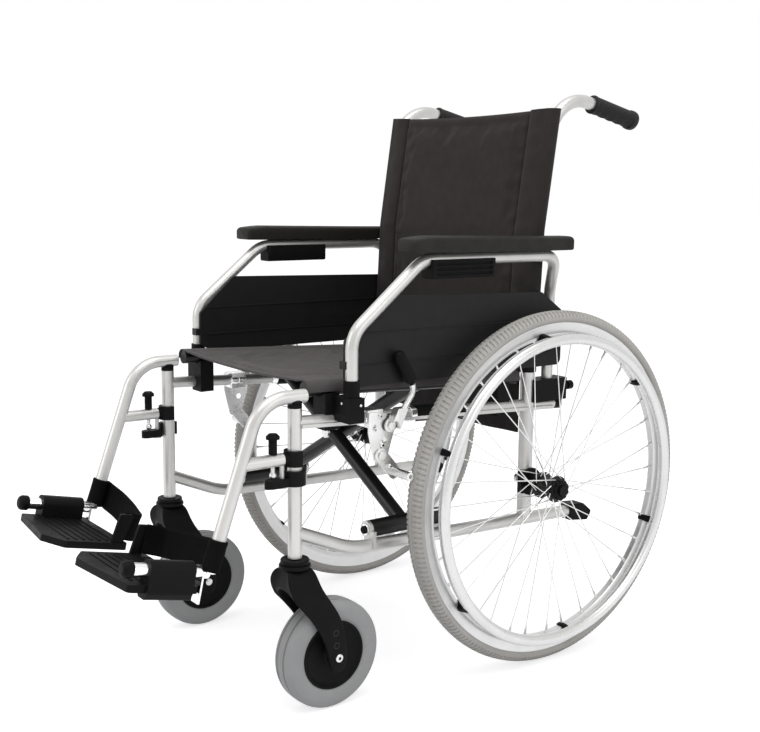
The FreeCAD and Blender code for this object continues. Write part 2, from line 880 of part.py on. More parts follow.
def make_ear(index, y):
    """An ear that stands on the lower side tube and holds one end of the cross brace's pin."""
    foot = s.post_x - s.ear_width / 2
    plate = block(
        f"ear_plate_{index}",
        (foot, along(y), lower_z(y) - s.lower_d / 8),
        (foot + s.ear_width, along(y) + s.ear, s.brace_pivot_z),
    )
    eye = rod(f"ear_eye_{index}", s.sleeve_radius, s.ear, s.brace_pivot_x, along(y), s.brace_pivot_z, "y")
    return fuse(f"ear_{index}", plate, eye)


def make_frame_fittings():
    """The black fittings: the posts' cap and collar, the side tubes' ends, and the seat rail's cradles."""
    cap = cut(
        "post_cap",
        rod("post_cap_ring", s.post_d / 2, s.cap_height - s.soft_gap, s.post_x, POST_Y, s.post_top),
        rod(
            "post_cap_bore", s.hanger_pin_radius + s.knob_gap, s.cap_height + s.overrun, s.post_x, POST_Y,
            s.post_top - s.overrun / 2,
        ),
    )
    collar = cut(
        "post_collar",
        rod(
            "post_collar_ring", s.rear_post_d / 2 + s.collar_wall, s.collar_ring, s.post_x, AXLE_Y,
            s.rear_post_top,
        ),
        rod(
            "post_collar_bore", s.cane_d / 2, s.collar_ring + s.overrun * 2, s.post_x, AXLE_Y,
            s.rear_post_top - s.overrun,
        ),
    )
    plug = sloping(
        "upper_plug", s.upper_d / 2, s.upper_rear_y, s.upper_rear_y + s.end_plug, upper_z, UPPER_SLOPE,
        s.post_x,
    )
    return add_pair("frame_fittings", group("frame_fittings", cap, collar, plug, make_tip(), *make_saddles()))


def make_tip():
    """The angular rubber tip on the lower side tube's rear end."""
    tip = body("tip_rubber")
    half = s.tip_width / 2
    corners = [
        (along(s.lower_rear_y), s.lower_rear_z - half),
        (along(s.lower_rear_y), s.lower_rear_z + half),
        (
            along(s.lower_rear_y) + s.tip_length * s.tip_shoulder_share,
            s.lower_rear_z + half * s.tip_slim_share, s.tip_drop,
        ),
        (along(s.lower_rear_y) + s.tip_length, s.lower_rear_z - s.tip_drop, s.tip_drop),
        (
            along(s.lower_rear_y) + s.tip_length * s.tip_slim_share, s.lower_rear_z - half - s.tip_drop,
            s.tip_drop / 2,
        ),
    ]
    pad(
        tip, outline(sketch_in(tip, "YZ_Plane", "tip_side", s.post_x), corners),
        s.tip_width * s.tip_slim_share, symmetric=True,
    )
    return cut("tip_seated", tip, nodes["left_side_frame"])


def cane_tube(name, x, radius):
    """A bar along the back cane's bent path."""
    corners = [
        (AXLE_Y, s.rear_post_top - s.cane_depth),
        (AXLE_Y, s.rear_post_top + s.collar_ring + s.cane_d / 2, s.cane_low_radius),
        (along(s.cane_bend_y), s.cane_bend_z, s.cane_mid_radius),
        (along(s.handle_corner_y), s.handle_corner_z, s.handle_radius),
        (along(s.handle_end_y), s.handle_end_z),
    ]
    return bent_tube(name, x, corners, radius)


def make_cane():
    """The back cane, which bends over into the push handle."""
    return add_pair("back_cane", cane_tube("back_cane", s.post_x, s.cane_d / 2))


def make_grip():
    """The ribbed push grip, slid over the handle's end."""
    bore = s.cane_d / 2
    pitch = (s.grip_length - s.grip_end * 3) / GRIP_GROOVES
    corners = [
        (ZERO, ZERO),
        (s.grip_end, ZERO),
        (s.grip_end, bore),
        (s.grip_length, bore),
        (s.grip_length, s.grip_radius),
        (s.grip_length - s.grip_end, s.grip_radius),
    ]
    for i in range(GRIP_GROOVES):
        near = s.grip_length - s.grip_end - pitch * i
        corners += [
            (near - pitch * s.groove_wall_share, s.grip_radius),
            (near - pitch * s.groove_floor_share, s.grip_radius - s.grip_groove),
            (near - pitch * s.groove_end_share, s.grip_radius - s.grip_groove),
            (near - pitch, s.grip_radius),
        ]
    corners += [
        (s.grip_end, s.grip_radius + s.grip_flare), (s.grip_flare, s.grip_radius + s.grip_flare),
        (ZERO, s.grip_radius - s.grip_flare),
    ]
    grip = revolve("push_grip", [(-u, v) for u, v in corners])
    fall = slope(s.handle_corner_z - s.handle_end_z, s.handle_end_y - s.handle_corner_y)
    grip.Placement = FreeCAD.Placement(V(), FreeCAD.Rotation(Z_AXIS, QUARTER_TURN))
    holder = doc.addObject("Part::Compound", "push_grip_level")
    holder.Links = [grip]
    tipped = doc.addObject("Part::Compound", "push_grip_tipped")
    tipped.Links = [holder]
    end_y = along(s.handle_end_y) + cosine(fall) * s.grip_end
    end_z = s.handle_end_z - sine(fall) * s.grip_end
    put(tipped, s.post_x, end_y, end_z, X_AXIS, -fall)
    return add_pair("push_grip", tipped)


def make_sockets():
    """The armrest's sockets: a clamp with a sleeve in front, and a block behind the rear post."""
    leg = s.arm_d / 2 + s.socket_gap
    y = along(s.arm_front_y)
    front = fuse(
        "front_socket_whole",
        block(
            "front_socket_block",
            (s.post_x + s.upper_d / 4, y - s.socket_depth / 2, s.socket_bottom),
            (s.socket_outer, y + s.socket_depth / 2, s.socket_step),
        ),
        rod(
            "front_socket_sleeve", s.socket_radius, s.socket_top - s.socket_bottom, s.arm_x, y,
            s.socket_bottom,
        ),
    )
    front_bore = rod("front_socket_bore", leg, s.socket_top, s.arm_x, y, s.arm_foot_z - s.soft_gap)
    front_socket = cut("front_socket", front, front_bore, nodes["left_side_frame"])
    rear_y = along(s.arm_rear_y)
    rear = block(
        "rear_socket_block",
        (s.arm_rear_x - s.rear_socket_width / 2, AXLE_Y, upper_z(s.arm_rear_y) + s.upper_d / 2 - s.overrun),
        (s.arm_rear_x + s.rear_socket_width / 2, along(s.rear_socket_reach), s.rear_socket_top),
    )
    rear_bore = rod(
        "rear_socket_bore", leg, s.rear_socket_top, s.arm_rear_x, rear_y, s.arm_rear_foot_z - s.soft_gap,
    )
    pin_bore = rod(
        "rear_socket_pin_bore", s.socket_pin_radius + s.running_gap, s.rear_socket_reach, s.arm_rear_x,
        rear_y, s.socket_knob_z, "y",
    )
    rear_socket = cut(
        "rear_socket", rear, rear_bore, pin_bore, nodes["left_side_frame"], nodes["left_frame_fittings"],
        nodes["left_back_cane"],
    )
    return add_pair("armrest_sockets", group("armrest_sockets", front_socket, rear_socket))


def make_socket_knob():
    """The sprung knob that pins the armrest's rear leg."""
    tip = s.arm_rear_y + s.arm_d / 2 + s.soft_gap
    pin = rod(
        "socket_pin", s.socket_pin_radius, s.rear_socket_reach + s.knob_gap + s.overrun - tip, s.arm_rear_x,
        along(tip), s.socket_knob_z, "y",
    )
    start = s.rear_socket_reach + s.knob_gap
    head = rod(
        "socket_knob_head", s.socket_knob_radius, s.socket_knob_length, s.arm_rear_x, along(start),
        s.socket_knob_z, "y",
    )
    waist = cut(
        "socket_knob_waist",
        rod("socket_knob_groove", s.socket_knob_radius + s.overrun, s.socket_knob_length / 3, s.arm_rear_x,
            along(start) + s.socket_knob_length / 4, s.socket_knob_z, "y"),
        rod(
            "socket_knob_neck", s.socket_knob_radius - s.knob_soft, s.socket_knob_length, s.arm_rear_x,
            along(start), s.socket_knob_z, "y",
        ),
    )
    return add_pair("socket_knob", cut("socket_knob", fuse("socket_knob_whole", pin, head), waist))


def make_saddles():
    """The two cradles on the upper side tube that the seat rail rests in."""
    cradles = []
    for i, y in enumerate((s.saddle_front_y, s.saddle_rear_y)):
        low = (
            s.rail_x - s.saddle_inner / 2 - s.overrun, along(y) - s.saddle_length / 2,
            upper_z(y) - s.upper_d / 2 - s.saddle_wall,
        )
        high = (s.post_x + s.upper_d / 4, along(y) + s.saddle_length / 2, rail_z(y) - s.saddle_below_rail)
        rail = sloping(
            f"saddle_rail_{i}", s.rail_cap_radius + s.soft_gap, s.rail_front_y, s.rail_rear_y, rail_z,
            RAIL_SLOPE, s.rail_x,
        )
        cradles.append(
            cut(f"saddle_{i}", block(f"saddle_block_{i}", low, high), rail, nodes["left_side_frame"]),
        )
    return cradles


def make_axle_mount():
    """The black block that clamps the rear wheel's axle to the rear post, and the axle in it."""
    z = s.wheel_radius
    half = s.mount_block_half
    clamp = block(
        "mount_block",
        (s.post_x, AXLE_Y - half, z - s.mount_block_height / 2),
        (s.mount_plate_x, AXLE_Y + half, z + s.mount_block_height / 2),
    )
    flange = rod("mount_flange", s.mount_flange_radius, s.mount_flange, s.mount_plate_x, AXLE_Y, z, "x")
    boss_end = s.wheel_x - s.hub_half - s.knob_gap
    boss = rod("mount_boss", s.mount_boss_radius, boss_end - s.mount_plate_x, s.mount_plate_x, AXLE_Y, z, "x")
    start = s.post_x - s.rear_post_d / 2 - s.axle_nut
    end = s.wheel_x + s.hub_half + s.hub_cap + s.knob_gap
    axle = rod("axle", s.axle_radius, end + s.axle_button - start, start, AXLE_Y, z, "x")
    button = rod("axle_button", s.axle_button_radius, s.axle_button, end, AXLE_Y, z, "x")
    nut = rod("axle_nut", s.axle_button_radius, s.axle_nut, start, AXLE_Y, z, "x")
    axle_whole = fuse("quick_release_axle", axle, button, nut)
    mount = cut("mount_cut", fuse("mount_whole", clamp, flange, boss), nodes["left_side_frame"], axle)
    axle_clear = cut("axle_clear", axle_whole, nodes["left_side_frame"])
    return add_pair("axle_mount", group("axle_mount", mount, axle_clear))


def make_tyre():
    half = s.tyre_width / 2
    seat = s.rim_width / 2 - s.rim_lip_wall
    top = s.wheel_radius
    lip = top - s.rim_lip + s.seat_gap
    corners = [
        (-seat, top - s.tyre_seat),
        (-seat, lip),
        (-half, top - s.tyre_side, s.tyre_round / 2),
        (-half, top - s.tyre_side_top, s.tyre_round),
        (-s.tyre_crown / 2, top, s.tyre_round),
        (s.tyre_crown / 2, top, s.tyre_round),
        (half, top - s.tyre_side_top, s.tyre_round),
        (half, top - s.tyre_side, s.tyre_round / 2),
        (seat, lip),
        (seat, top - s.tyre_seat),
    ]
    return add_pair("tyre", put(revolve("tyre", corners), s.wheel_x, AXLE_Y, s.wheel_radius))


def make_rim():
    half = s.rim_width / 2
    inner = half - s.rim_lip_wall
    top = s.wheel_radius
    floor = s.rim_floor_width / 2
    corners = [
        (-half, top - s.rim_lip),
        (-inner, top - s.rim_lip),
        (-inner, top - s.tyre_seat),
        (inner, top - s.tyre_seat),
        (inner, top - s.rim_lip),
        (half, top - s.rim_lip),
        (half, top - s.rim_shoulder),
        (floor, top - s.rim_inner),
        (-floor, top - s.rim_inner),
        (-half, top - s.rim_shoulder),
    ]
    return add_pair("rim", put(revolve("rim", corners), s.wheel_x, AXLE_Y, s.wheel_radius))


def make_spokes():
    """The crossed wire spokes. Every second spoke of a flange starts on the flange's other face."""
    rim_radius = s.wheel_radius.value - s.rim_inner.value - s.spoke_end_gap.value
    centre = V(s.wheel_x.value, AXLE_Y.value, s.wheel_radius.value)
    spokes = []
    for i in range(SPOKES):
        side = 1 if i % 2 else -1
        leads = 1 if (i // 2) % 2 else -1
        rim_angle = math.tau * i / SPOKES
        hub_angle = rim_angle + leads * math.radians(s.spoke_turn.value)
        inward = s.hub_flange_x.value - s.spoke_inset.value
        outward = s.hub_flange_x.value + s.spoke_outset.value
        x = side * (inward if leads > 0 else outward)
        start = centre + V(
            x, s.spoke_circle.value * math.cos(hub_angle), s.spoke_circle.value * math.sin(hub_angle),
        )
        end = centre + V(
            side * s.spoke_rim_x.value, rim_radius * math.cos(rim_angle), rim_radius * math.sin(rim_angle),
        )
        spokes.append(hexagon_bar(start, end, s.spoke_radius.value))
    thing = doc.addObject("Part::Feature", "spokes")
    thing.Shape = Part.makeCompound(spokes)
    return add_pair("spokes", thing)


def hexagon_bar(start, end, radius):
    """A thin six-sided bar between two points."""
    run = end - start
    across = run.cross(Z_AXIS if abs(run.z) < abs(run.y) else Y_AXIS).normalize() * radius
    turn = FreeCAD.Rotation(run, FULL_TURN / 6)
    corners = [across]
    for _ in range(5):
        corners.append(turn.multVec(corners[-1]))
    places = [start + c for c in corners]
    return Part.Face(Part.makePolygon(places + places[:1])).extrude(run)


def make_hub():
    bore = s.axle_radius + s.running_gap
    inner = s.hub_flange_x - s.hub_flange / 2
    outer = s.hub_flange_x + s.hub_flange / 2
    corners = [
        (-s.hub_half, bore),
        (-s.hub_half, s.hub_end_radius),
        (-outer, s.hub_end_radius),
        (-outer, s.hub_flange_radius),
        (-inner, s.hub_flange_radius),
        (-inner, s.hub_barrel_radius),
        (inner, s.hub_barrel_radius),
        (inner, s.hub_flange_radius),
        (outer, s.hub_flange_radius),
        (outer, s.hub_end_radius),
        (s.hub_half, s.hub_end_radius),
        (s.hub_half, s.hub_cap_radius),
        (s.hub_half + s.hub_cap, s.hub_cap_radius),
        (s.hub_half + s.hub_cap, bore),
    ]
    return add_pair("hub", put(revolve("hub", corners), s.wheel_x, AXLE_Y, s.wheel_radius))


def make_handrim():
    """The hand rim, held off the wheel's rim by short tabs."""
    ring = doc.addObject("Part::Torus", "handrim_ring")
    ring.setExpression("Radius1", HANDRIM_RADIUS.text)
    ring.setExpression("Radius2", (s.handrim_tube / 2).text)
    ring.Placement = FreeCAD.Placement(V(), TURNS["x"])
    put(ring, s.handrim_x, AXLE_Y, s.wheel_radius)
    tabs = []
    start = s.wheel_x + s.rim_width / 2
    low = s.wheel_radius - s.rim_shoulder + s.tab_shift - s.tab_depth / 2
    for i in range(TABS):
        tab = doc.addObject("Part::Box", f"handrim_tab_{i}")
        tab.setExpression("Length", (s.handrim_x - start).text)
        tab.setExpression("Width", s.tab_width.text)
        tab.setExpression("Height", s.tab_depth.text)
        angle = sized(TAB_START + FULL_TURN * i / TABS)
        y = AXLE_Y - cosine(angle) * s.tab_width / 2 - sine(angle) * low
        z = s.wheel_radius - sine(angle) * s.tab_width / 2 + cosine(angle) * low
        put(tab, start, y, z, X_AXIS, angle)
        tabs.append(tab)
    return add_pair("handrim", fuse("handrim", ring, *tabs))


def make_caster_fork():
    """The moulded fork, its collar and stem, and the bolt that the caster wheel turns on."""
    fork = body("fork_moulding")
    corners = [
        (-s.fork_nose, s.fork_head_top),
        (-s.fork_nose, s.fork_head_bottom, s.fork_nose / 2),
        (s.fork_front_knee_y, s.fork_front_knee_z, s.caster_radius),
        (s.fork_shin_y, s.fork_shin_z, s.fork_nose),
        (s.fork_toe_y, s.fork_toe_z, s.fork_toe_round),
        (s.fork_heel_y, s.fork_toe_z, s.fork_heel_round),
        (s.fork_calf_y, s.fork_calf_z, s.fork_back),
        (s.fork_back_knee_y, s.fork_back_knee_z, s.fork_back),
        (s.fork_back, s.fork_head_top),
    ]
    width = s.fork_gap + s.fork_leg * 2
    pad(fork, outline(sketch_in(fork, "YZ_Plane", "fork_side"), corners), width, symmetric=True)
    holes = sketch_in(fork, "YZ_Plane", "fork_holes")
    for i in range(FORK_HOLES):
        place = s.caster_trail - s.fork_hole_shift * (i + 1)
        circle(holes, s.fork_hole, place, s.caster_radius + s.fork_hole_step * (i + 1))
    pocket_through(fork, holes)
    fillet(
        fork, s.fork_soft,
        lambda e: abs(abs(e.CenterOfMass.x) - width.value / 2) < TINY and e.Length > s.fork_leg.value * 4,
    )
    put(fork, s.post_x, POST_Y, ZERO)
    plan = body("fork_plan")
    side = width / 2
    plan_corners = [
        (-side, -s.fork_nose, s.fork_plan_round),
        (side, -s.fork_nose, s.fork_plan_round),
        (side, s.fork_plan_rear, s.fork_soft),
        (-side, s.fork_plan_rear, s.fork_soft),
    ]
    pad(
        plan, outline(sketch_in(plan, "XY_Plane", "fork_plan_view"), plan_corners),
        s.fork_head_top + s.overrun,
    )
    put(plan, s.post_x, POST_Y, ZERO)
    rounded = doc.addObject("Part::MultiCommon", "fork_rounded")
    rounded.Shapes = [fork, plan]
    axle_y = POST_Y + s.caster_trail
    hollow = rod(
        "fork_hollow", s.caster_radius + s.fork_wheel_gap, s.fork_gap, s.post_x - s.fork_gap / 2, axle_y,
        s.caster_radius, "x",
    )
    half = width / 2
    bolt = fuse(
        "caster_bolt",
        rod(
            "caster_bolt_shank", s.caster_bolt_radius, width + s.overrun, s.post_x - half - s.overrun / 2,
            axle_y, s.caster_radius, "x",
        ),
        rod(
            "caster_bolt_head", s.caster_bolt_head, s.caster_bolt_head_length, s.post_x + half, axle_y,
            s.caster_radius, "x",
        ),
        rod(
            "caster_bolt_nut", s.caster_bolt_head, s.caster_bolt_head_length,
            s.post_x - half - s.caster_bolt_head_length, axle_y, s.caster_radius, "x",
        ),
    )
    collar_top = s.post_bottom - s.knob_gap
    collar = rod(
        "fork_collar", s.collar_radius, collar_top - s.fork_head_top + s.overrun, s.post_x, POST_Y,
        s.fork_head_top - s.overrun,
    )
    stem = rod(
        "fork_stem", s.stem_radius, STEM_TOP - s.fork_head_top - s.overrun, s.post_x, POST_Y,
        s.fork_head_top,
    )
    moulding = cut("fork_hollowed", rounded, hollow)
    return add_pair("caster_fork", fuse("caster_fork", moulding, collar, stem, bolt))


def make_caster_wheel():
    half = s.caster_width / 2
    top = s.caster_radius
    groove = s.caster_groove / 2
    corners = [(-half, s.caster_disc_radius), (-half, top - s.caster_shoulder, s.caster_groove * 2)]
    corners.append((-half + s.caster_shoulder, top, s.caster_groove * 2))
    for x in (-s.caster_groove_x, s.caster_groove_x):
        corners += [(x - groove, top), (x, top - s.caster_groove), (x + groove, top)]
    corners.append((half - s.caster_shoulder, top, s.caster_groove * 2))
    corners += [(half, top - s.caster_shoulder, s.caster_groove * 2), (half, s.caster_disc_radius)]
    tyre = put(revolve("caster_tyre", corners), s.post_x, along(CASTER_Y), s.caster_radius)
    add_pair("caster_tyre", tyre)
    bore = s.caster_bolt_radius + s.running_gap
    web = s.caster_web / 2
    edge = s.caster_disc_radius - s.caster_disc_rim
    boss = s.fork_gap / 2 - s.knob_gap
    profile = [
        (-boss, bore),
        (-boss, s.caster_boss_radius),
        (-web, s.caster_boss_radius + s.caster_groove),
        (-web, edge - s.caster_groove),
        (-half, edge),
        (-half, s.caster_disc_radius),
        (half, s.caster_disc_radius),
        (half, edge),
        (web, edge - s.caster_groove),
        (web, s.caster_boss_radius + s.caster_groove),
        (boss, s.caster_boss_radius),
        (boss, bore),
    ]
    return add_pair(
        "caster_hub", put(revolve("caster_hub", profile), s.post_x, along(CASTER_Y), s.caster_radius),
    )


def make_armrest_tube():
    """The armrest's tube: front leg, slanted rise, top, and a rear leg that bends in behind the panel."""
    corners = [
        (s.arm_x, along(s.arm_front_y), s.arm_foot_z),
        (s.arm_x, along(s.arm_front_y), s.arm_knee_z),
        (s.arm_x, along(s.arm_top_front_y), s.arm_top_z),
        (s.arm_x, along(s.arm_top_rear_y), s.arm_top_z),
        (s.arm_rear_x, along(s.arm_rear_y), s.arm_top_z - s.arm_heel_drop),
        (s.arm_rear_x, along(s.arm_rear_y), s.arm_rear_foot_z),
    ]
    radii = [s.arm_knee_radius, s.arm_shoulder_radius, s.arm_elbow_radius, s.arm_heel_radius]
    return add_pair("armrest_tube", space_tube("armrest_tube", corners, radii, s.arm_d / 2))


def make_armrest_pad():
    """The moulded arm pad, and the grooved holder that clamps under the tube."""
    cushion = body("pad_moulding")
    corners = [
        (along(s.pad_front_y), s.pad_bottom),
        (along(s.pad_front_y), s.pad_bottom + s.pad_nose, s.pad_soft / 2),
        (along(s.pad_front_y) + s.pad_slope, s.pad_top, s.pad_soft),
        (along(s.pad_rear_y), s.pad_top, s.pad_soft),
        (along(s.pad_rear_y), s.pad_bottom),
    ]
    pad(
        cushion, outline(sketch_in(cushion, "YZ_Plane", "pad_side", s.pad_x), corners), s.pad_width,
        symmetric=True,
    )
    fillet(
        cushion, s.pad_soft,
        lambda e: abs(e.CenterOfMass.z - s.pad_top.value) < TINY and e.Length > s.pad_width.value * 2,
    )
    seated = cut("armrest_cushion", cushion, nodes["left_armrest_tube"])
    half = s.holder_width / 2
    box = block(
        "holder_box",
        (s.arm_x - half, along(s.holder_front_y), s.holder_bottom),
        (s.arm_x + half, along(s.holder_rear_y), s.arm_top_z),
    )
    inset = s.holder_groove_inset
    grooves = []
    for i in range(HOLDER_GROOVES):
        low = s.holder_groove_low + s.holder_groove_pitch * i
        grooves.append(block(
            f"holder_groove_{i}",
            (s.arm_x + half - s.holder_groove, along(s.holder_front_y) + inset, low),
            (s.arm_x + half + s.overrun, along(s.holder_rear_y) - inset, low + s.holder_groove_height),
        ))
    holder = cut("armrest_holder", box, nodes["left_armrest_tube"], *grooves)
    return add_pair("armrest_pad", group("armrest_pad", seated, holder))


def make_side_panel():
    """The thin side panel, with two raised lines and the clips that reach the armrest's legs."""
    panel = body("panel_sheet")
    corners = [
        (along(s.panel_front_y), s.panel_front_bottom, s.panel_round / 2),
        (along(s.panel_front_y), s.panel_front_top, s.panel_round / 2),
        (along(s.panel_slope_y), s.panel_top, s.panel_round),
        (along(s.panel_corner_y), s.panel_top_rear, s.panel_round),
        (along(s.panel_rear_y), s.panel_corner_z, s.panel_round / 2),
        (along(s.panel_rear_y), s.panel_bottom, s.panel_round),
        (along(s.panel_front_y) + s.panel_round * 2, s.panel_bottom, s.panel_round / 2),
    ]
    pad(
        panel, outline(sketch_in(panel, "YZ_Plane", "panel_side", s.panel_x), corners), s.panel_thick,
        symmetric=True,
    )
    ridges = sketch_in(panel, "YZ_Plane", "panel_ridges", s.panel_x)
    front = along(s.panel_front_y) + s.panel_round
    rear = along(s.panel_rear_y) - s.panel_round
    for z in (s.panel_ridge_high_z, s.panel_ridge_low_z):
        box_outline(ridges, front, z, rear, z + s.panel_ridge)
    pad(panel, ridges, s.panel_thick + s.panel_ridge * 2, symmetric=True, name="Ridges")
    clips = []
    for i, (x, y) in enumerate(((s.arm_x, s.arm_front_y), (s.arm_rear_x, s.arm_rear_y))):
        low, high = (s.panel_x, x) if x.value > s.panel_x.value else (x, s.panel_x)
        clips.append(block(
            f"panel_clip_{i}",
            (low, along(y) - s.clip_length / 2, s.clip_z),
            (high, along(y) + s.clip_length / 2, s.clip_z + s.clip_height),
        ))
    return add_pair(
        "side_panel",
        cut("side_panel", fuse("side_panel_whole", panel, *clips), nodes["left_armrest_tube"]),
    )


def box_outline(sketch, low_u, low_v, high_u, high_v):
    """A rectangle as four more lines of a sketch."""
    first = sketch.GeometryCount
    places = [(low_u, low_v), (high_u, low_v), (high_u, high_v), (low_u, high_v)]
    for i in range(4):
        a, b = places[i], places[(i + 1) % 4]
        sketch.addGeometry(Part.LineSegment(V(a[0].value, a[1].value, 0), V(b[0].value, b[1].value, 0)))
    for i in range(4):
        sketch.addConstraint(Sketcher.Constraint("Coincident", first + (i - 1) % 4, 2, first + i, 1))
        bind_place(sketch, first + i, 1, *places[i])
    return sketch


def make_brake_bracket():
    """The brake's clamp on the upper side tube and the pierced plate that carries the lever and the arm."""
    clamp = cut(
        "brake_clamp",
        block(
            "brake_clamp_block",
            (
                s.post_x - s.upper_d / 2 - s.brake_plate, along(BRAKE_CLAMP_FRONT_Y),
                upper_z(BRAKE_CLAMP_REAR_Y) - s.upper_d / 2 - s.brake_plate,
            ),
            (
                s.brake_plate_x, along(BRAKE_CLAMP_REAR_Y),
                upper_z(BRAKE_CLAMP_FRONT_Y) + s.upper_d / 2 + s.brake_plate,
            ),
        ),
        nodes["left_side_frame"],
    )
    plate = body("brake_plate")
    tab = s.brake_tab
    corners = [
        (along(BRAKE_CLAMP_FRONT_Y), upper_z(BRAKE_CLAMP_FRONT_Y) + tab, tab / 3),
        (along(BRAKE_LEVER_Y) + tab, upper_z(BRAKE_LEVER_Y) + tab / 2, tab / 2),
        (along(BRAKE_LEVER_Y) + tab, s.brake_lever_z - tab, tab / 2),
        (along(BRAKE_ARM_Y) + tab, s.brake_arm_z - tab, tab / 2),
        (along(BRAKE_ARM_Y) - tab, s.brake_arm_z - tab, tab / 2),
        (along(BRAKE_CLAMP_FRONT_Y), upper_z(BRAKE_CLAMP_FRONT_Y) - tab * 2, tab / 2),
    ]
    pad(
        plate, outline(sketch_in(plate, "YZ_Plane", "brake_plate_side", s.brake_plate_x), corners),
        s.brake_plate,
    )
    holes = sketch_in(plate, "YZ_Plane", "brake_plate_holes", s.brake_plate_x)
    middle_y = (BRAKE_LEVER_Y + BRAKE_ARM_Y) / 2
    middle_z = (s.brake_lever_z + s.brake_arm_z) / 2
    circle(holes, s.brake_window, along(middle_y), middle_z)
    circle(holes, s.brake_hole, along(BRAKE_CLAMP_FRONT_Y) + tab, s.brake_lever_z)
    pocket_through(plate, holes)
    bolts = []
    layers = {"lever": 2, "arm": 1}
    for name, y, z in (("lever", BRAKE_LEVER_Y, s.brake_lever_z), ("arm", BRAKE_ARM_Y, s.brake_arm_z)):
        reach = (s.brake_plate + s.brake_step) * layers[name] + s.brake_plate + s.brake_step
        bolts.append(rod(f"brake_bolt_{name}", s.brake_bolt_radius, reach, s.brake_plate_x, along(y), z, "x"))
        bolts.append(
            rod(
                f"brake_bolt_head_{name}", s.brake_bolt_head, s.brake_bolt_head_length,
                s.brake_plate_x + reach, along(y), z, "x",
            ),
        )
    return add_pair("brake_bracket", fuse("brake_bracket", clamp, plate, *bolts))


def make_brake_arm():
    """The arm whose cross pin presses on the tyre."""
    x = s.brake_plate_x + s.brake_plate + s.brake_step
    y = BRAKE_ARM_Y
    z = s.brake_arm_z
    tab = s.brake_tab
    reach = length_of(BRAKE_PIN_Y - y, BRAKE_PIN_Z - z)
    corners = [
        (-tab, -tab, tab * s.arm_round_share),
        (reach + tab, -tab, tab * s.arm_round_share),
        (reach + tab, tab, tab * s.arm_round_share),
        (-tab, tab, tab * s.arm_round_share),
    ]
    arm = body("brake_arm_plate")
    pad(arm, outline(sketch_in(arm, "YZ_Plane", "brake_arm_side"), corners), s.brake_plate)
    put(arm, x, along(y), z, X_AXIS, slope(BRAKE_PIN_Z - z, BRAKE_PIN_Y - y))
    pin = rod("brake_pin", s.brake_pin_radius, s.brake_pin_end_x - x, x, along(BRAKE_PIN_Y), BRAKE_PIN_Z, "x")
    eye = rod(
        "brake_arm_eye", s.brake_bolt_radius + s.running_gap, s.brake_plate * 3, x - s.brake_plate,
        along(y), z, "x",
    )
    dimple = rod(
        "brake_pin_dimple", s.brake_hole, s.brake_pin_radius,
        s.brake_pin_end_x - s.brake_pin_radius + s.overrun / 2, along(BRAKE_PIN_Y), BRAKE_PIN_Z, "x",
    )
    return add_pair("brake_arm", cut("brake_arm", fuse("brake_arm_whole", arm, pin), eye, dimple))


def make_brake_lever():
    """The hand lever: a flat foot on its pivot, a kinked rod and a rubber grip."""
    x = s.brake_plate_x + (s.brake_plate + s.brake_step) * 2
    y, z, tab = BRAKE_LEVER_Y, s.brake_lever_z, s.brake_tab
    foot = rod("lever_foot", tab, s.brake_plate, x, along(y), z, "x")
    rise_y = (LEVER_KINK_Y - y) * s.lever_foot_share
    rise_z = (s.lever_kink_z - z) * s.lever_foot_share
    stem = bent_tube(
        "lever_rod",
        s.lever_x,
        [
            (along(y) + rise_y, z + rise_z),
            (along(LEVER_KINK_Y), s.lever_kink_z, s.lever_bend_radius),
            (along(LEVER_TOP_Y), s.lever_top_z),
        ],
        s.lever_d / 2,
    )
    web = body("lever_web")
    side = [
        (along(y) - tab * s.lever_heel_share, z, tab / 3),
        (along(y) + rise_y - tab * s.lever_neck_share, z + rise_z + tab, tab / 4),
        (along(y) + rise_y + tab * s.lever_back_share, z + rise_z + tab, tab / 4),
        (along(y) + tab * s.lever_toe_share, z - tab * s.lever_toe_drop_share, tab / 3),
    ]
    pad(web, outline(sketch_in(web, "YZ_Plane", "lever_web_side", x), side), s.lever_x + s.lever_d / 2 - x)
    web_cut = cut(
        "lever_web_cut",
        web,
        rod("lever_web_clear", s.brake_bolt_head + s.overrun, s.lever_x, x + s.brake_plate, along(y), z, "x"),
    )
    eye = rod(
        "lever_eye", s.brake_bolt_radius + s.running_gap, s.brake_plate * 3, x - s.brake_plate, along(y), z,
        "x",
    )
    lever = cut("brake_lever_steel", fuse("brake_lever_whole", foot, web_cut, stem), eye)
    lean = slope(LEVER_KINK_Y - LEVER_TOP_Y, s.lever_top_z - s.lever_kink_z)
    inside = s.lever_grip_length * s.lever_grip_start_share
    bar = s.lever_grip_length * s.lever_grip_bar_share
    start_y = LEVER_TOP_Y + sine(lean) * inside
    start_z = s.lever_top_z - cosine(lean) * inside
    handle = leaning_rod(
        "lever_grip_bar", s.lever_grip_radius, bar, s.lever_x, along(start_y), start_z, X_AXIS, lean,
    )
    top_y = start_y - sine(lean) * bar
    top_z = start_z + cosine(lean) * bar
    knob = ball("lever_grip_top", s.lever_grip_radius, s.lever_x, along(top_y), top_z)
    grip = cut("brake_lever_grip", fuse("lever_grip_whole", handle, knob), lever)
    return add_pair("brake_lever", group("brake_lever", lever, grip))


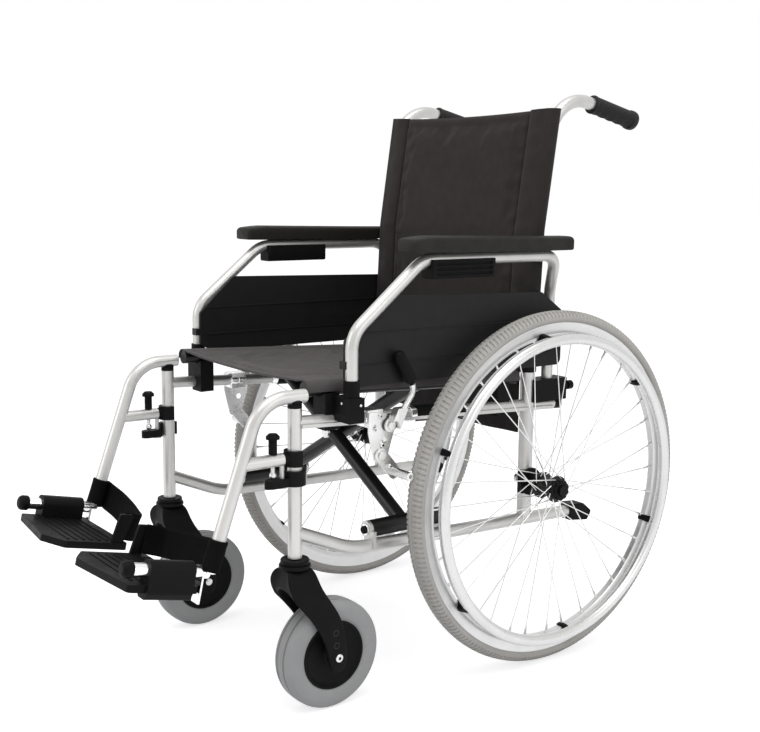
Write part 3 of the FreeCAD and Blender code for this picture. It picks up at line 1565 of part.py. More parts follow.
def make_hanger():
    """The swing-away leg hanger: a bent tube, its arm to the post, and the pin in the post's top."""
    radius = s.hanger_d / 2
    tube = bent_tube(
        "hanger_bend",
        s.post_x,
        [
            (along(s.hanger_rear_y), s.hanger_top_z),
            (along(HANGER_CORNER_Y), s.hanger_top_z, s.hanger_bend_radius),
            (along(hanger_y(s.hanger_end_z)), s.hanger_end_z),
        ],
        radius,
    )
    arm_front = hanger_y(s.arm_bar_z)
    arm_rear = s.post_y - s.hug_stub
    arm = rod(
        "hanger_arm", s.arm_bar_d / 2, arm_rear - arm_front, s.post_x, along(arm_front), s.arm_bar_z, "y",
    )
    pin = rod(
        "hanger_pin", s.hanger_pin_radius, s.hanger_top_z - s.post_top + s.hanger_pin_depth - s.overrun,
        s.post_x, POST_Y, s.post_top - s.hanger_pin_depth + s.overrun,
    )
    stud_top = s.arm_bar_z
    stud = rod(
        "latch_stud", s.latch_pin_radius, stud_top - s.latch_bottom + s.overrun, s.post_x,
        along(s.latch_pivot_y), s.latch_bottom - s.overrun,
    )
    stud_head = rod("latch_stud_head", s.latch_pin_radius * 2, s.overrun, s.post_x, along(s.latch_pivot_y),
                    s.latch_bottom - s.overrun - s.knob_gap)
    whole = fuse("hanger_whole", tube, arm, pin, stud, stud_head)
    bore = leaning_rod(
        "hanger_bore_tool", s.extension_radius + s.running_gap, s.extension_reach, s.post_x, along(FOOT_Y),
        s.foot_z, X_AXIS, -s.hanger_lean,
    )
    knob_bore = rod(
        "hanger_knob_bore", s.socket_pin_radius + s.running_gap, s.arm_bar_d * 2, s.post_x,
        along(s.hanger_knob_y), s.arm_bar_z - s.arm_bar_d,
    )
    return add_pair("hanger_tube", cut("hanger_tube", whole, bore, knob_bore))


def make_hanger_saddle():
    """The black half shell that lets the hanger turn about the front post."""
    low = s.arm_bar_z - s.hug_height / 2
    ring = rod("saddle_ring", s.hug_radius, s.hug_height, s.post_x, POST_Y, low)
    stub = rod("saddle_stub", s.arm_bar_d / 2, s.hug_stub, s.post_x, POST_Y - s.hug_stub, s.arm_bar_z, "y")
    post = rod("saddle_post", s.post_d / 2 + s.hug_gap, s.hug_height * 2, s.post_x, POST_Y, low - s.overrun)
    back = block(
        "saddle_back",
        (s.post_x - s.hug_stub, POST_Y + s.hug_open, low - s.overrun),
        (s.post_x + s.hug_stub, POST_Y + s.hug_stub, low + s.hug_height + s.overrun),
    )
    latch = rod(
        "saddle_latch_clear", s.latch_pin_radius + s.running_gap, s.hug_height, s.post_x,
        along(s.latch_pivot_y), low - s.overrun,
    )
    return add_pair(
        "hanger_saddle", cut("hanger_saddle", fuse("saddle_whole", ring, stub), post, back, latch),
    )


def make_hanger_knob():
    """The sprung plunger on the hanger's arm."""
    arm_top = s.arm_bar_z + s.arm_bar_d / 2
    y = along(s.hanger_knob_y)
    head_low = s.hanger_knob_top - s.hanger_knob_head_height
    head = doc.addObject("Part::Cone", "plunger_head")
    head.setExpression("Radius1", s.hanger_knob_head.text)
    head.setExpression("Radius2", s.hanger_knob_stem.text)
    head.setExpression("Height", (s.hanger_knob_head_height / 2).text)
    put(head, s.post_x, y, head_low + s.hanger_knob_head_height / 2)
    disc = rod("plunger_disc", s.hanger_knob_head, s.hanger_knob_head_height / 2, s.post_x, y, head_low)
    stem = rod(
        "plunger_stem", s.hanger_knob_stem, head_low - arm_top - s.knob_gap, s.post_x, y,
        arm_top + s.knob_gap,
    )
    pin = rod(
        "plunger_pin", s.socket_pin_radius, arm_top + s.overrun - s.hanger_ball_z, s.post_x, y,
        s.hanger_ball_z,
    )
    tip = ball("plunger_ball", s.hanger_ball, s.post_x, y, s.hanger_ball_z)
    return add_pair("hanger_knob", fuse("hanger_knob", head, disc, stem, pin, tip))


def make_latch():
    """The lever that hooks round the post's outer side."""
    height = s.latch_top - s.latch_bottom
    ring = rod("latch_ring", s.hug_radius, height, s.post_x, POST_Y, s.latch_bottom)
    post = rod(
        "latch_post", s.post_d / 2 + s.hug_gap, height + s.overrun * 2, s.post_x, POST_Y,
        s.latch_bottom - s.overrun,
    )
    inner = block(
        "latch_inner",
        (s.post_x - s.hug_stub, along(s.latch_pivot_y) + s.latch_swing, s.latch_bottom - s.overrun),
        (s.post_x, POST_Y + s.hug_stub, s.latch_top + s.overrun),
    )
    hook = cut("latch_hook", ring, post)
    nose = body("latch_nose")
    half = s.latch_width / 2
    corners = [
        (s.post_x - half, POST_Y - s.post_d / 4),
        (s.post_x - half, along(s.latch_nose_y) + half, half / 2),
        (s.post_x - half / 2, along(s.latch_nose_y), half / 2),
        (s.post_x + half / 2, along(s.latch_nose_y), half / 2),
        (s.post_x + half, along(s.latch_nose_y) + half, half / 2),
        (s.post_x + half, POST_Y - s.post_d / 4),
    ]
    pad(
        nose, outline(sketch_in(nose, "XY_Plane", "latch_top_view", s.latch_bottom), corners),
        s.latch_nose_top - s.latch_bottom,
    )
    pivot = rod(
        "latch_eye", s.latch_pin_radius + s.running_gap, height * 2, s.post_x, along(s.latch_pivot_y),
        s.latch_bottom - s.overrun,
    )
    return add_pair("hanger_latch", cut("hanger_latch", fuse("latch_whole", hook, nose), pivot, post, inner))


def place_foot(thing):
    """Sets a piece that is modelled about the footplate's axle into the chair."""
    return put(thing, s.foot_x, along(FOOT_Y), s.foot_z, X_AXIS, -s.foot_tilt)


def make_foot_axle():
    """The chrome extension in the hanger, the axle that the footplate turns on, and the plate's stop."""
    axle_local = rod("foot_axle_bar", s.foot_axle_radius, s.foot_bar, ZERO, -s.foot_bar, ZERO, "y")
    stop_local = block(
        "foot_stop",
        (-s.stop_width / 2, -s.stop_start - s.stop_thick, -s.stop_drop),
        (s.stop_width / 2, -s.stop_start, ZERO),
    )
    local = place_foot(fuse("foot_axle_tilted", axle_local, stop_local))
    shank = leaning_rod(
        "foot_extension", s.extension_radius, s.extension_reach - s.overrun, s.post_x, along(FOOT_Y),
        s.foot_z, X_AXIS, -s.hanger_lean,
    )
    return add_pair("foot_axle", fuse("foot_axle", local, shank))


def make_footplate():
    """The flip-up footplate: a ribbed tread under a long hinge sleeve, and the post for the heel strap."""
    plate = body("tread_moulding")
    inner = -(s.foot_x - s.plate_inner_x)
    nose = -(s.foot_x - s.plate_nose_x)
    outer = s.plate_outer_x - s.foot_x
    corners = [
        (inner, -s.plate_rear, s.plate_round),
        (inner, -s.plate_inner_front, s.plate_round),
        (nose, -s.plate_nose, s.plate_round),
        (outer, -s.plate_outer_front, s.plate_round),
        (outer, -s.plate_rear, s.plate_round),
    ]
    bottom = -s.plate_top - s.plate_thick
    pad(
        plate, outline(sketch_in(plate, "XY_Plane", "tread_top_view", bottom), corners), s.plate_thick,
        name="Tread",
    )
    r = s.foot_sleeve_radius
    sleeve = [
        (-r, r, r * s.sleeve_top_share),
        (r, r, r * s.sleeve_top_share),
        (r, -s.foot_sleeve_drop * s.sleeve_side_share, r * s.sleeve_bend_share),
        (r * s.sleeve_foot_share, -s.foot_sleeve_drop, r * s.sleeve_toe_share),
        (-r * s.sleeve_top_share, -s.foot_sleeve_drop, r * s.sleeve_toe_share),
    ]
    pad(
        plate, outline(sketch_in(plate, "XZ_Plane", "sleeve_end", s.foot_sleeve_start), sleeve),
        s.foot_sleeve_length, name="Sleeve",
    )
    ribs = sketch_in(plate, "XY_Plane", "tread_ribs", -s.plate_top)
    for i in range(FOOT_RIBS):
        y = -s.rib_start - s.rib_pitch * i
        box_outline(ribs, inner + s.rib_inner, y - s.rib_width, -s.foot_sleeve_radius, y)
    pad(plate, ribs, s.rib_height, name="Ribs")
    post_x = -(s.foot_x - s.heel_post_x)
    post = sketch_in(plate, "YZ_Plane", "heel_post_side", post_x)
    start = -s.heel_post_start
    base = -s.plate_top - s.plate_thick / 2
    outline(post, [
        (start, base),
        (start - s.heel_post_width, base),
        (
            start - s.heel_post_width + s.heel_post_lean * s.heel_post_top_share, base + s.heel_post_rise,
            s.plate_round / 2,
        ),
        (start + s.heel_post_lean, base + s.heel_post_rise, s.plate_round / 2),
    ])
    pad(plate, post, s.heel_post_thick, symmetric=True, name="Post")
    bore = sketch_in(plate, "XZ_Plane", "sleeve_bore")
    circle(bore, s.foot_axle_radius + s.running_gap)
    pocket_through(plate, bore)
    place_foot(plate)
    knob_corners = [
        (-s.foot_bar - s.foot_knob_half, ZERO),
        (-s.foot_bar - s.foot_knob_half, s.foot_knob_radius, s.foot_knob_round),
        (-s.foot_bar + s.foot_knob_half, s.foot_knob_radius, s.foot_knob_edge),
        (-s.foot_bar + s.foot_knob_half, ZERO),
    ]
    knob_whole = revolve("foot_knob_whole", knob_corners, "YZ_Plane")
    bore_radius = s.foot_axle_radius + s.running_gap
    socket = rod("foot_knob_socket", bore_radius, s.foot_bar, ZERO, -s.foot_bar - s.knob_gap, ZERO, "y")
    knob = place_foot(cut("foot_knob", knob_whole, socket))
    return add_pair("footplate", group("footplate", plate, knob))


def make_heel_strap():
    """The wide heel strap, looped round the hanger's shin and closed on the footplate's post."""
    bore = s.hanger_d / 2 + s.soft_gap
    thick = s.strap_thick
    loop = rod("strap_loop", bore + thick, s.strap_height, s.post_x, ZERO, ZERO)
    band = body("strap_band")
    corners = [
        (s.post_x, bore),
        (s.post_x - bore, bore * s.strap_wrap_share, bore),
        (s.post_x * s.strap_middle_share, s.strap_bow, s.post_x * s.strap_bow_share),
        (s.strap_inner_x + thick, s.strap_corner_y, s.strap_corner_round),
        (s.strap_inner_x + thick, -s.strap_forward),
        (s.strap_inner_x, -s.strap_forward),
        (s.strap_inner_x, s.strap_corner_y + thick, s.strap_corner_round + thick),
        (s.post_x * s.strap_middle_share, s.strap_bow + thick, s.post_x * s.strap_bow_share),
        (s.post_x - bore, bore * s.strap_wrap_share + thick, bore),
        (s.post_x, bore + thick),
    ]
    pad(band, outline(sketch_in(band, "XY_Plane", "strap_top_view"), corners), s.strap_height)
    middle = s.strap_height / 2
    shift_x = s.post_x - s.post_x * cosine(s.strap_tilt) + middle * sine(s.strap_tilt)
    shift_z = middle - s.post_x * sine(s.strap_tilt) - middle * cosine(s.strap_tilt)
    put(band, shift_x, ZERO, shift_z, Y_AXIS, -s.strap_tilt)
    clear = rod("strap_loop_bore", bore, s.strap_height + s.overrun * 2, s.post_x, ZERO, -s.overrun)
    local = cut("strap_upright", fuse("strap_whole", loop, band), clear)
    put(local, ZERO, along(hanger_y(s.strap_low_z)), s.strap_low_z, X_AXIS, -s.hanger_lean)
    axle = leaning_rod(
        "strap_axle_clear", s.foot_axle_radius + s.strap_gap, s.strap_height, s.foot_x, along(FOOT_Y),
        s.foot_z, X_AXIS, sized(QUARTER_TURN) - s.foot_tilt,
    )
    return add_pair("heel_strap", cut("heel_strap", local, axle))


def brace_y(side):
    """The middle of a brace tube. The two pass each other with a small gap."""
    return s.brace_middle_y - (s.brace_d + s.brace_gap) / 2 * side


def brace_tube(name, side, radius):
    """The slanted tube from the lower pin on one side to the seat rail on the other."""
    foot_x = s.brace_pivot_x * side
    length = length_of(BRACE_RISE, BRACE_RUN)
    return leaning_rod(
        name, radius, length, foot_x, along(brace_y(side)), s.brace_pivot_z, Y_AXIS, -BRACE_LEAN * side,
    )


def make_brace(name, side):
    """One half of the folding cross: a sleeve on the lower pin, a slanted tube, and the seat rail on top."""
    y = brace_y(side)
    foot_x = s.brace_pivot_x * side
    head_x = -s.rail_x * side
    tube = brace_tube(name + "_tube", side, s.brace_d / 2)
    sleeve = rod(
        name + "_sleeve", s.sleeve_radius, s.sleeve_rear_y - s.sleeve_front_y, foot_x,
        along(s.sleeve_front_y), s.brace_pivot_z, "y",
    )
    rail = sloping(name + "_rail", s.rail_radius, s.rail_front_y, s.rail_rear_y, rail_z, RAIL_SLOPE, head_x)
    cap = sloping(
        name + "_cap", s.rail_cap_radius, s.rail_front_y, s.rail_front_y + s.rail_cap_length, rail_z,
        RAIL_SLOPE, head_x,
    )
    bore = rod(
        name + "_bore", s.pin_radius + s.running_gap, s.sleeve_rear_y - s.sleeve_front_y + s.overrun * 2,
        foot_x, along(s.sleeve_front_y) - s.overrun, s.brace_pivot_z, "y",
    )
    bolt_bore = rod(
        name + "_bolt_bore", s.brace_bolt_radius + (ZERO if side > 0 else s.running_gap), s.brace_d * 2,
        ZERO, along(y) - s.brace_d, BRACE_Z, "y",
    )
    return cut(name + "_frame", fuse(name + "_whole", tube, sleeve, rail, cap), bore, bolt_bore)


def make_braces():
    first = make_brace("brace_a", 1)
    second = make_brace("brace_b", -1)
    reach = s.brace_d + s.brace_gap / 2
    middle = along(s.brace_middle_y)
    bolt = fuse(
        "brace_bolt",
        rod(
            "brace_bolt_shank", s.brace_bolt_radius, reach * 2 + s.overrun, ZERO,
            middle - reach - s.overrun / 2, BRACE_Z, "y",
        ),
        rod(
            "brace_bolt_head", s.brace_bolt_head, s.brace_bolt_head_length, ZERO,
            middle - reach - s.brace_bolt_head_length, BRACE_Z, "y",
        ),
        rod(
            "brace_bolt_nut", s.brace_bolt_head, s.brace_bolt_head_length, ZERO,
            middle + reach + s.knob_gap, BRACE_Z, "y",
        ),
    )
    add("brace_left", group("brace_left", first, bolt))
    add("brace_right", second)


def make_seat():
    """The seat canvas, which sags a little between the rails that it is wrapped over."""
    seat = body("seat_sheet")
    rail = s.rail_x
    edge = s.seat_edge
    skirt = s.seat_skirt
    sheet = s.canvas_sheet
    quarter = rail * s.seat_quarter_share
    quarter_round = rail * s.seat_quarter_round_share
    dip = s.seat_sag * s.seat_quarter_share
    right = [
        (rail + edge, -skirt),
        (
            rail + edge * s.seat_shoulder_share, edge * s.seat_shoulder_rise_share,
            edge * s.seat_shoulder_round_share,
        ),
        (rail, edge, edge * s.seat_crown_round_share),
        (quarter, edge - dip, quarter_round),
    ]
    top = [(u, v, *more) for u, v, *more in right] + [(ZERO, edge - s.seat_sag, rail)]
    top += [(-u, v, *more) for u, v, *more in reversed(right)]
    under = [
        (-rail - edge + sheet, -skirt),
        (-rail, ZERO),
        (-rail + edge * s.seat_tuck_share, edge * s.seat_tuck_rise_share),
        (-quarter, edge - dip - sheet, quarter_round),
        (ZERO, edge - s.seat_sag - sheet, rail),
        (quarter, edge - dip - sheet, quarter_round),
        (rail - edge * s.seat_tuck_share, edge * s.seat_tuck_rise_share),
        (rail, ZERO),
        (rail + edge - sheet, -skirt),
    ]
    profile = outline(sketch_in(seat, "XZ_Plane", "seat_section"), top + under)
    run = (s.rail_rear_y - s.rail_front_y) / cosine(RAIL_SLOPE) + s.overrun
    pad(seat, profile, run)
    put(seat, ZERO, along(s.rail_rear_y), rail_z(s.rail_rear_y), X_AXIS, -RAIL_SLOPE)
    rails = [
        sloping(
            f"seat_rail_clear_{i}", s.rail_cap_radius + s.soft_gap, s.rail_front_y - s.overrun * 2,
            s.rail_rear_y + s.overrun * 2, rail_z, RAIL_SLOPE, x,
        )
        for i, x in enumerate((s.rail_x, -s.rail_x))
    ]
    clear = s.brace_d / 2 + s.soft_gap
    tubes = [brace_tube(f"seat_brace_clear_{i}", side, clear) for i, side in enumerate((1, -1))]
    add("seat_canvas", cut("seat_canvas", seat, *rails, *tubes))


def cane_y(z):
    """How far back the cane's middle is, at a height between its two bends."""
    lean = (s.handle_corner_y - s.cane_bend_y) / (s.handle_corner_z - s.cane_bend_z)
    return s.cane_bend_y + lean * (z - s.cane_bend_z)


def make_back():
    """The back canvas: a padded sheet in front of the canes, a pocket round each, and a flap below."""
    pocket = s.cane_d / 2 + s.soft_gap + s.back_pocket
    levels = [
        (s.back_bottom, s.cane_bend_y * s.back_foot_share), (s.cane_bend_z, s.cane_bend_y),
        (s.back_top, cane_y(s.back_top)),
    ]
    wires = [back_section(z.value, along(y).value, pocket.value) for z, y in levels]
    sheet = Part.makeLoft(wires, True, True)
    flap = Part.makeBox(
        s.flap_half.value * 2,
        s.canvas_sheet.value,
        s.back_bottom.value - s.flap_bottom.value + s.overrun.value,
        V(-s.flap_half.value, along(s.flap_y).value, s.flap_bottom.value),
    )
    thing = doc.addObject("Part::Feature", "back_sheet")
    thing.Shape = sheet.fuse(flap).removeSplitter()
    clear = s.cane_d / 2 + s.soft_gap
    canes = [cane_tube(f"back_cane_clear_{i}", s.post_x * side, clear) for i, side in enumerate((1, -1))]
    add("back_canvas", cut("back_canvas", thing, *canes))


def back_section(z, y, pocket):
    """The back canvas cut level at a height, as a closed wire."""
    cane = s.post_x.value
    outer = s.back_half.value
    seam = s.back_seam_x.value
    front = y - pocket
    rear = y + pocket
    middle = front + s.back_middle.value
    half = [
        (seam, middle), (cane - pocket, middle), (cane, rear), (outer - pocket / 2, rear), (outer, y),
        (outer - pocket / 2, front),
    ]
    points = [V(u, v, z) for u, v in half] + [V(-u, v, z) for u, v in reversed(half)]
    return Part.makePolygon(points + points[:1])


def build():
    make_side_frame()
    make_frame_fittings()
    make_cane()
    make_grip()
    make_armrest_tube()
    make_armrest_pad()
    make_side_panel()
    make_sockets()
    make_socket_knob()
    make_axle_mount()
    make_tyre()
    make_rim()
    make_spokes()
    make_hub()
    make_handrim()
    make_caster_fork()
    make_caster_wheel()
    make_brake_bracket()
    make_brake_arm()
    make_brake_lever()
    make_hanger()
    make_hanger_saddle()
    make_hanger_knob()
    make_latch()
    make_foot_axle()
    make_footplate()
    make_heel_strap()
    make_braces()
    make_seat()
    make_back()


def check():
    """Stops the build if anything in the document failed or a node's shape is empty or broken."""
    doc.recompute()
    failed = [o.Label for o in doc.Objects if any(w in o.State for w in ("Invalid", "Error"))]
    if failed:
        raise RuntimeError(f"failed objects: {failed}")
    for name, thing in nodes.items():
        if thing.Shape.isNull() or not thing.Shape.isValid() or thing.Shape.Volume <= 0:
            raise RuntimeError(f"broken shape: {name}")


def export():
    os.makedirs("parts", exist_ok=True)
    for name, thing in nodes.items():
        thing.Shape.exportStep(os.path.join("parts", name + ".step"))
        print(f"{name}: {len(thing.Shape.Solids)} solids, {thing.Shape.Volume / 1000:.1f} cm3")


build()
check()
export()
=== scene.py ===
import math

import bmesh
import bpy
import numpy as np
from mathutils import Matrix, Vector


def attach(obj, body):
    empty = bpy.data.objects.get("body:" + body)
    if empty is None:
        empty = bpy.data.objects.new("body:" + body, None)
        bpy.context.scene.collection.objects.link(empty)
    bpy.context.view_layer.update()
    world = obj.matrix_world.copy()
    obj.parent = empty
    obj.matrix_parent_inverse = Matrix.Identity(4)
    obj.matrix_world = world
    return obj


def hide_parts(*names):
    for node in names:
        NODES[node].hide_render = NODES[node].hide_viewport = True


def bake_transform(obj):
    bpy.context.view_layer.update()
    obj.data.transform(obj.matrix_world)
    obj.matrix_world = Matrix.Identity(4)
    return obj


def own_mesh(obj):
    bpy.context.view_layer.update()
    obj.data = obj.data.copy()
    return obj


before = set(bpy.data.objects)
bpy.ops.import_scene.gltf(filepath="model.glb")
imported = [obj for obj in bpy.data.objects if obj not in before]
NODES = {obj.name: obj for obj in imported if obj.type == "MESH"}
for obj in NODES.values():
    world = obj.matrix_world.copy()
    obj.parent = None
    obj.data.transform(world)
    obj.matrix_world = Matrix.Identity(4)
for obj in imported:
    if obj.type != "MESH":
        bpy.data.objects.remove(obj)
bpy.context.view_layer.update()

# Lengths are in millimetres. place() turns a point into the frame's metres.
MM = 0.001
AXLE_Y = 232.575
WHEEL_X, WHEEL_R = 275.0, 305.0
CASTER_Y, CASTER_R = -418.0, 87.3
POST_X, POST_Y = 213.0, -477.6
SIDES = (("left", 1), ("right", -1))


def place(x, y, z):
    """A point given in millimetres, counted from the rear axle along Y."""
    return Vector((x * MM, (y + AXLE_Y) * MM, z * MM))


# Camera

def make_camera():
    """The photograph's camera. Its focal length is in the photograph's pixels."""
    azimuth, elevation, roll, focal, photo_width = 0.93323, 0.15316, 0.01074, 1145.33, 760
    flat = math.cos(elevation)
    back = Vector((math.sin(azimuth) * flat, -math.cos(azimuth) * flat, math.sin(elevation)))
    right = Vector((0, 0, 1)).cross(back).normalized()
    up = back.cross(right)
    c, s = math.cos(roll), math.sin(roll)
    data = bpy.data.cameras.new("camera")
    data.sensor_width, data.sensor_fit = 36.0, "HORIZONTAL"
    data.lens = focal / photo_width * data.sensor_width
    data.clip_start, data.clip_end = 0.05, 60.0
    camera = bpy.data.objects.new("camera", data)
    bpy.context.scene.collection.objects.link(camera)
    rows = Matrix((c * right + s * up, -s * right + c * up, back)).transposed().to_4x4()
    rows.translation = place(1640.3, -1377.1, 808.4)
    camera.matrix_world = rows
    bpy.context.scene.camera = camera


make_camera()


# Materials

class Tree:
    """A material's or a world's node tree, built with short calls."""

    def __init__(self, owner, output):
        owner.use_nodes = True
        self.tree = owner.node_tree
        self.tree.nodes.clear()
        self.surface = self.new(output).inputs["Surface"]

    def put(self, socket, value):
        """Feeds a socket from another node's output, or sets its value."""
        if isinstance(value, bpy.types.NodeSocket):
            self.tree.links.new(value, socket)
        else:
            socket.default_value = value

    def new(self, kind, properties=(), **inputs):
        node = self.tree.nodes.new("ShaderNode" + kind)
        for key, value in dict(properties).items():
            setattr(node, key, value)
        for key, value in inputs.items():
            self.put(node.inputs[key.replace("_", " ")], value)
        return node

    def join(self, node, a, b):
        """Feeds the two operands of a node that works on shaders or numbers, and gives its result."""
        first = 1 if node.type == "MIX_SHADER" else 0
        self.put(node.inputs[first], a)
        self.put(node.inputs[first + 1], b)
        return node.outputs[0]

    def math(self, operation, a, b):
        return self.join(self.new("Math", {"operation": operation}), a, b)

    def seen(self):
        """1 for the rays that show the backdrop or its mirror image, and 0 for those that light the chair."""
        rays = self.new("LightPath").outputs
        value = self.math("MAXIMUM", rays["Is Camera Ray"], rays["Is Glossy Ray"])
        return self.math("MAXIMUM", value, rays["Is Transmission Ray"])


class Nodes(Tree):
    """The node tree of a material of the chair, round one Principled shader."""

    def __init__(self, name):
        self.material = bpy.data.materials.new(name)
        super().__init__(self.material, "OutputMaterial")
        self.shader = self.new("BsdfPrincipled")
        self.put(self.surface, self.shader.outputs["BSDF"])
        self.place = self.new("TexCoord").outputs["Object"]

    def use(self, **sockets):
        for key, value in sockets.items():
            self.put(self.shader.inputs[key.replace("_", " ")], value)

    def noise(self, scale, detail=3.0, roughness=0.55, distortion=0.0, at=None):
        return self.new("TexNoise", Vector=at or self.place, Scale=scale, Detail=detail, Roughness=roughness,
                        Distortion=distortion).outputs["Fac"]

    def wave(self, pitch, direction):
        """Bands a pitch apart. Blender's wave repeats 20 / tau times in a unit at scale 1."""
        return self.new("TexWave", {"wave_type": "BANDS", "bands_direction": direction}, Vector=self.place,
                        Scale=math.tau / 20 / pitch).outputs["Fac"]

    def range(self, value, low, high, start=0.3, end=0.7):
        return self.new("MapRange", Value=value, From_Min=start, From_Max=end, To_Min=low,
                        To_Max=high).outputs["Result"]

    def mix(self, factor, a, b):
        node = self.new("Mix", {"data_type": "RGBA"}, Factor=factor)
        for index, value in ((6, a), (7, b)):
            self.put(node.inputs[index], (*value, 1) if isinstance(value, tuple) else value)
        return node.outputs[2]

    def mottled(self, scale, detail, colour, dark, light, roughness=0.55):
        """A colour that drifts between two shades of itself."""
        cloud = self.range(self.noise(scale, detail, roughness), 0.0, 1.0)
        return self.mix(cloud, shade(colour, dark), shade(colour, light))

    def bump(self, height, strength, distance, normal=None):
        node = self.new("Bump", Height=height, Strength=strength, Distance=distance)
        if normal is not None:
            self.put(node.inputs["Normal"], normal)
        return node.outputs["Normal"]

    def rounded(self, radius):
        return self.new("Bevel", {"samples": 4}, Radius=radius).outputs["Normal"]

    def edges(self, low, high):
        """1 on outward edges and 0 elsewhere."""
        return self.range(self.new("NewGeometry").outputs["Pointiness"], 0.0, 1.0, low, high)


def shade(colour, factor):
    return tuple(min(1.0, c * factor) for c in colour)


def metal(name, colour, rough, metallic, vary=0.06, brushed=None, shine=0.5):
    """Painted, anodised or plated metal: cloudy colour, fine grain in its gloss, and brighter worn edges."""
    m = Nodes(name)
    base = m.mottled(26.0, 4.0, colour, 1 - vary, 1 + vary)
    at = m.new("Mapping", Vector=m.place, Scale=brushed).outputs["Vector"] if brushed else None
    fine = m.noise(1400.0, 2.0, 0.6, at=at)
    patch = m.range(m.noise(60.0), rough - 0.03, rough + 0.05)
    m.use(Base_Color=m.mix(m.edges(0.52, 0.58), base, shade(colour, 1.12)),
          Roughness=m.math("ADD", m.range(fine, -0.035, 0.035), patch),
          Normal=m.bump(fine, 0.18, 0.00004, m.rounded(0.0004)), Metallic=metallic, Specular_IOR_Level=shine)
    return m.material


def plastic(name, colour, rough, grain=1500.0, depth=0.00006, shine=0.07):
    """Moulded plastic: fine spark-eroded grain, faint mottling and paler rubbed edges."""
    m = Nodes(name)
    base = m.mottled(34.0, 4.0, colour, 0.88, 1.12)
    fine = m.noise(grain, 2.0, 0.65)
    patch = m.range(m.noise(48.0), rough - 0.05, rough + 0.07)
    m.use(Base_Color=m.mix(m.edges(0.53, 0.62), base, shade(colour, 1.5)),
          Roughness=m.math("ADD", m.range(fine, -0.06, 0.06), patch),
          Normal=m.bump(fine, 0.35, depth, m.rounded(0.0006)), Specular_IOR_Level=shine)
    return m.material


def rubber(name, colour, rough, grain=900.0, shine=0.3):
    """Grey or black rubber with a dry bloom, fine moulding grain and specks of dust."""
    m = Nodes(name)
    speck = m.range(m.noise(420.0, 2.0), 0.0, 0.35, 0.45, 0.75)
    fine = m.noise(grain, 3.0, 0.6)
    m.use(Base_Color=m.mix(speck, m.mottled(15.0, 5.0, colour, 0.93, 1.05, 0.6), shade(colour, 1.12)),
          Roughness=m.range(fine, rough - 0.05, rough + 0.08), Normal=m.bump(fine, 0.3, 0.00012),
          Specular_IOR_Level=shine)
    return m.material


def cloth(name, colour, pitch=0.0009, along="Y", sheen=0.06, rough=0.78, shine=0.15):
    """Woven nylon: warp and weft as crossed bands, cloudy wear, and soft creases under the weave."""
    m = Nodes(name)
    weave = m.math("MULTIPLY", m.wave(pitch, "X"), m.wave(pitch, along))
    yarn = m.range(m.noise(700.0, 2.0), 0.0, 1.0)
    base = m.mottled(9.0, 5.0, colour, 0.84, 1.16, 0.6)
    base = m.mix(m.math("MULTIPLY", yarn, 0.4), base, shade(colour, 1.35))
    crease = m.bump(m.noise(14.0, 4.0, 0.55, 0.6), 0.35, 0.0022)
    m.use(Base_Color=m.mix(m.math("MULTIPLY", weave, 0.35), base, shade(colour, 0.62)),
          Roughness=m.range(m.noise(60.0), rough - 0.06, rough + 0.08),
          Normal=m.bump(weave, 0.45, 0.00022, crease), Sheen_Weight=sheen, Sheen_Roughness=0.45,
          Specular_IOR_Level=shine)
    return m.material


def foam(name, colour):
    """Moulded foam skin: leathery pores and a dull, slightly uneven gloss."""
    m = Nodes(name)
    cell = m.new("TexVoronoi", {"feature": "DISTANCE_TO_EDGE"}, Vector=m.place, Scale=620.0)
    pore = m.range(cell.outputs["Distance"], 0.0, 1.0, 0.0, 0.12)
    wide = m.bump(m.noise(120.0), 0.2, 0.0003, m.rounded(0.001))
    m.use(Base_Color=m.mottled(30.0, 4.0, colour, 0.85, 1.18), Roughness=m.range(m.noise(45.0), 0.5, 0.66),
          Normal=m.bump(pore, 0.35, 0.00012, wide), Specular_IOR_Level=0.22)
    return m.material


SILVER = metal("silver_paint", (0.56, 0.555, 0.54), 0.36, 0.72)
CHROME = metal("chrome_plate", (0.86, 0.86, 0.86), 0.16, 1.0, vary=0.02)
STEEL = metal("zinc_steel", (0.66, 0.66, 0.65), 0.27, 1.0, vary=0.03)
HANDRIM = metal("anodised_handrim", (0.66, 0.66, 0.655), 0.28, 0.80, vary=0.03)
RIM = metal("anodised_rim", (0.70, 0.70, 0.695), 0.33, 0.75, vary=0.04)
BLACK_PAINT = metal("black_paint", (0.008, 0.008, 0.008), 0.34, 0.0, vary=0.2, shine=0.3)
BLACK = plastic("black_plastic", (0.0060, 0.0060, 0.0061), 0.46)
PANEL = plastic("panel_plastic", (0.0095, 0.0093, 0.0092), 0.50, grain=900.0, depth=0.00012, shine=0.19)
GRIP = rubber("grip_rubber", (0.012, 0.0115, 0.0115), 0.56, grain=700.0, shine=0.22)
TYRE = rubber("tyre_rubber", (0.43, 0.418, 0.393), 0.66)
CASTER_TYRE = rubber("caster_rubber", (0.33, 0.332, 0.332), 0.58)
SEAT_CLOTH = cloth("seat_cloth", (0.082, 0.075, 0.075))
BACK_CLOTH = cloth("back_cloth", (0.0245, 0.0205, 0.0198), along="Z", sheen=0.05)
STRAP_CLOTH = cloth("strap_webbing", (0.0050, 0.0050, 0.0051), pitch=0.0016, along="Z", sheen=0.0, shine=0.05)
FOAM = foam("pad_foam", (0.0116, 0.0106, 0.0094))
THREAD = cloth("sewing_thread", (0.014, 0.0132, 0.0132), pitch=0.0005, sheen=0.08, rough=0.6)


# Mesh helpers

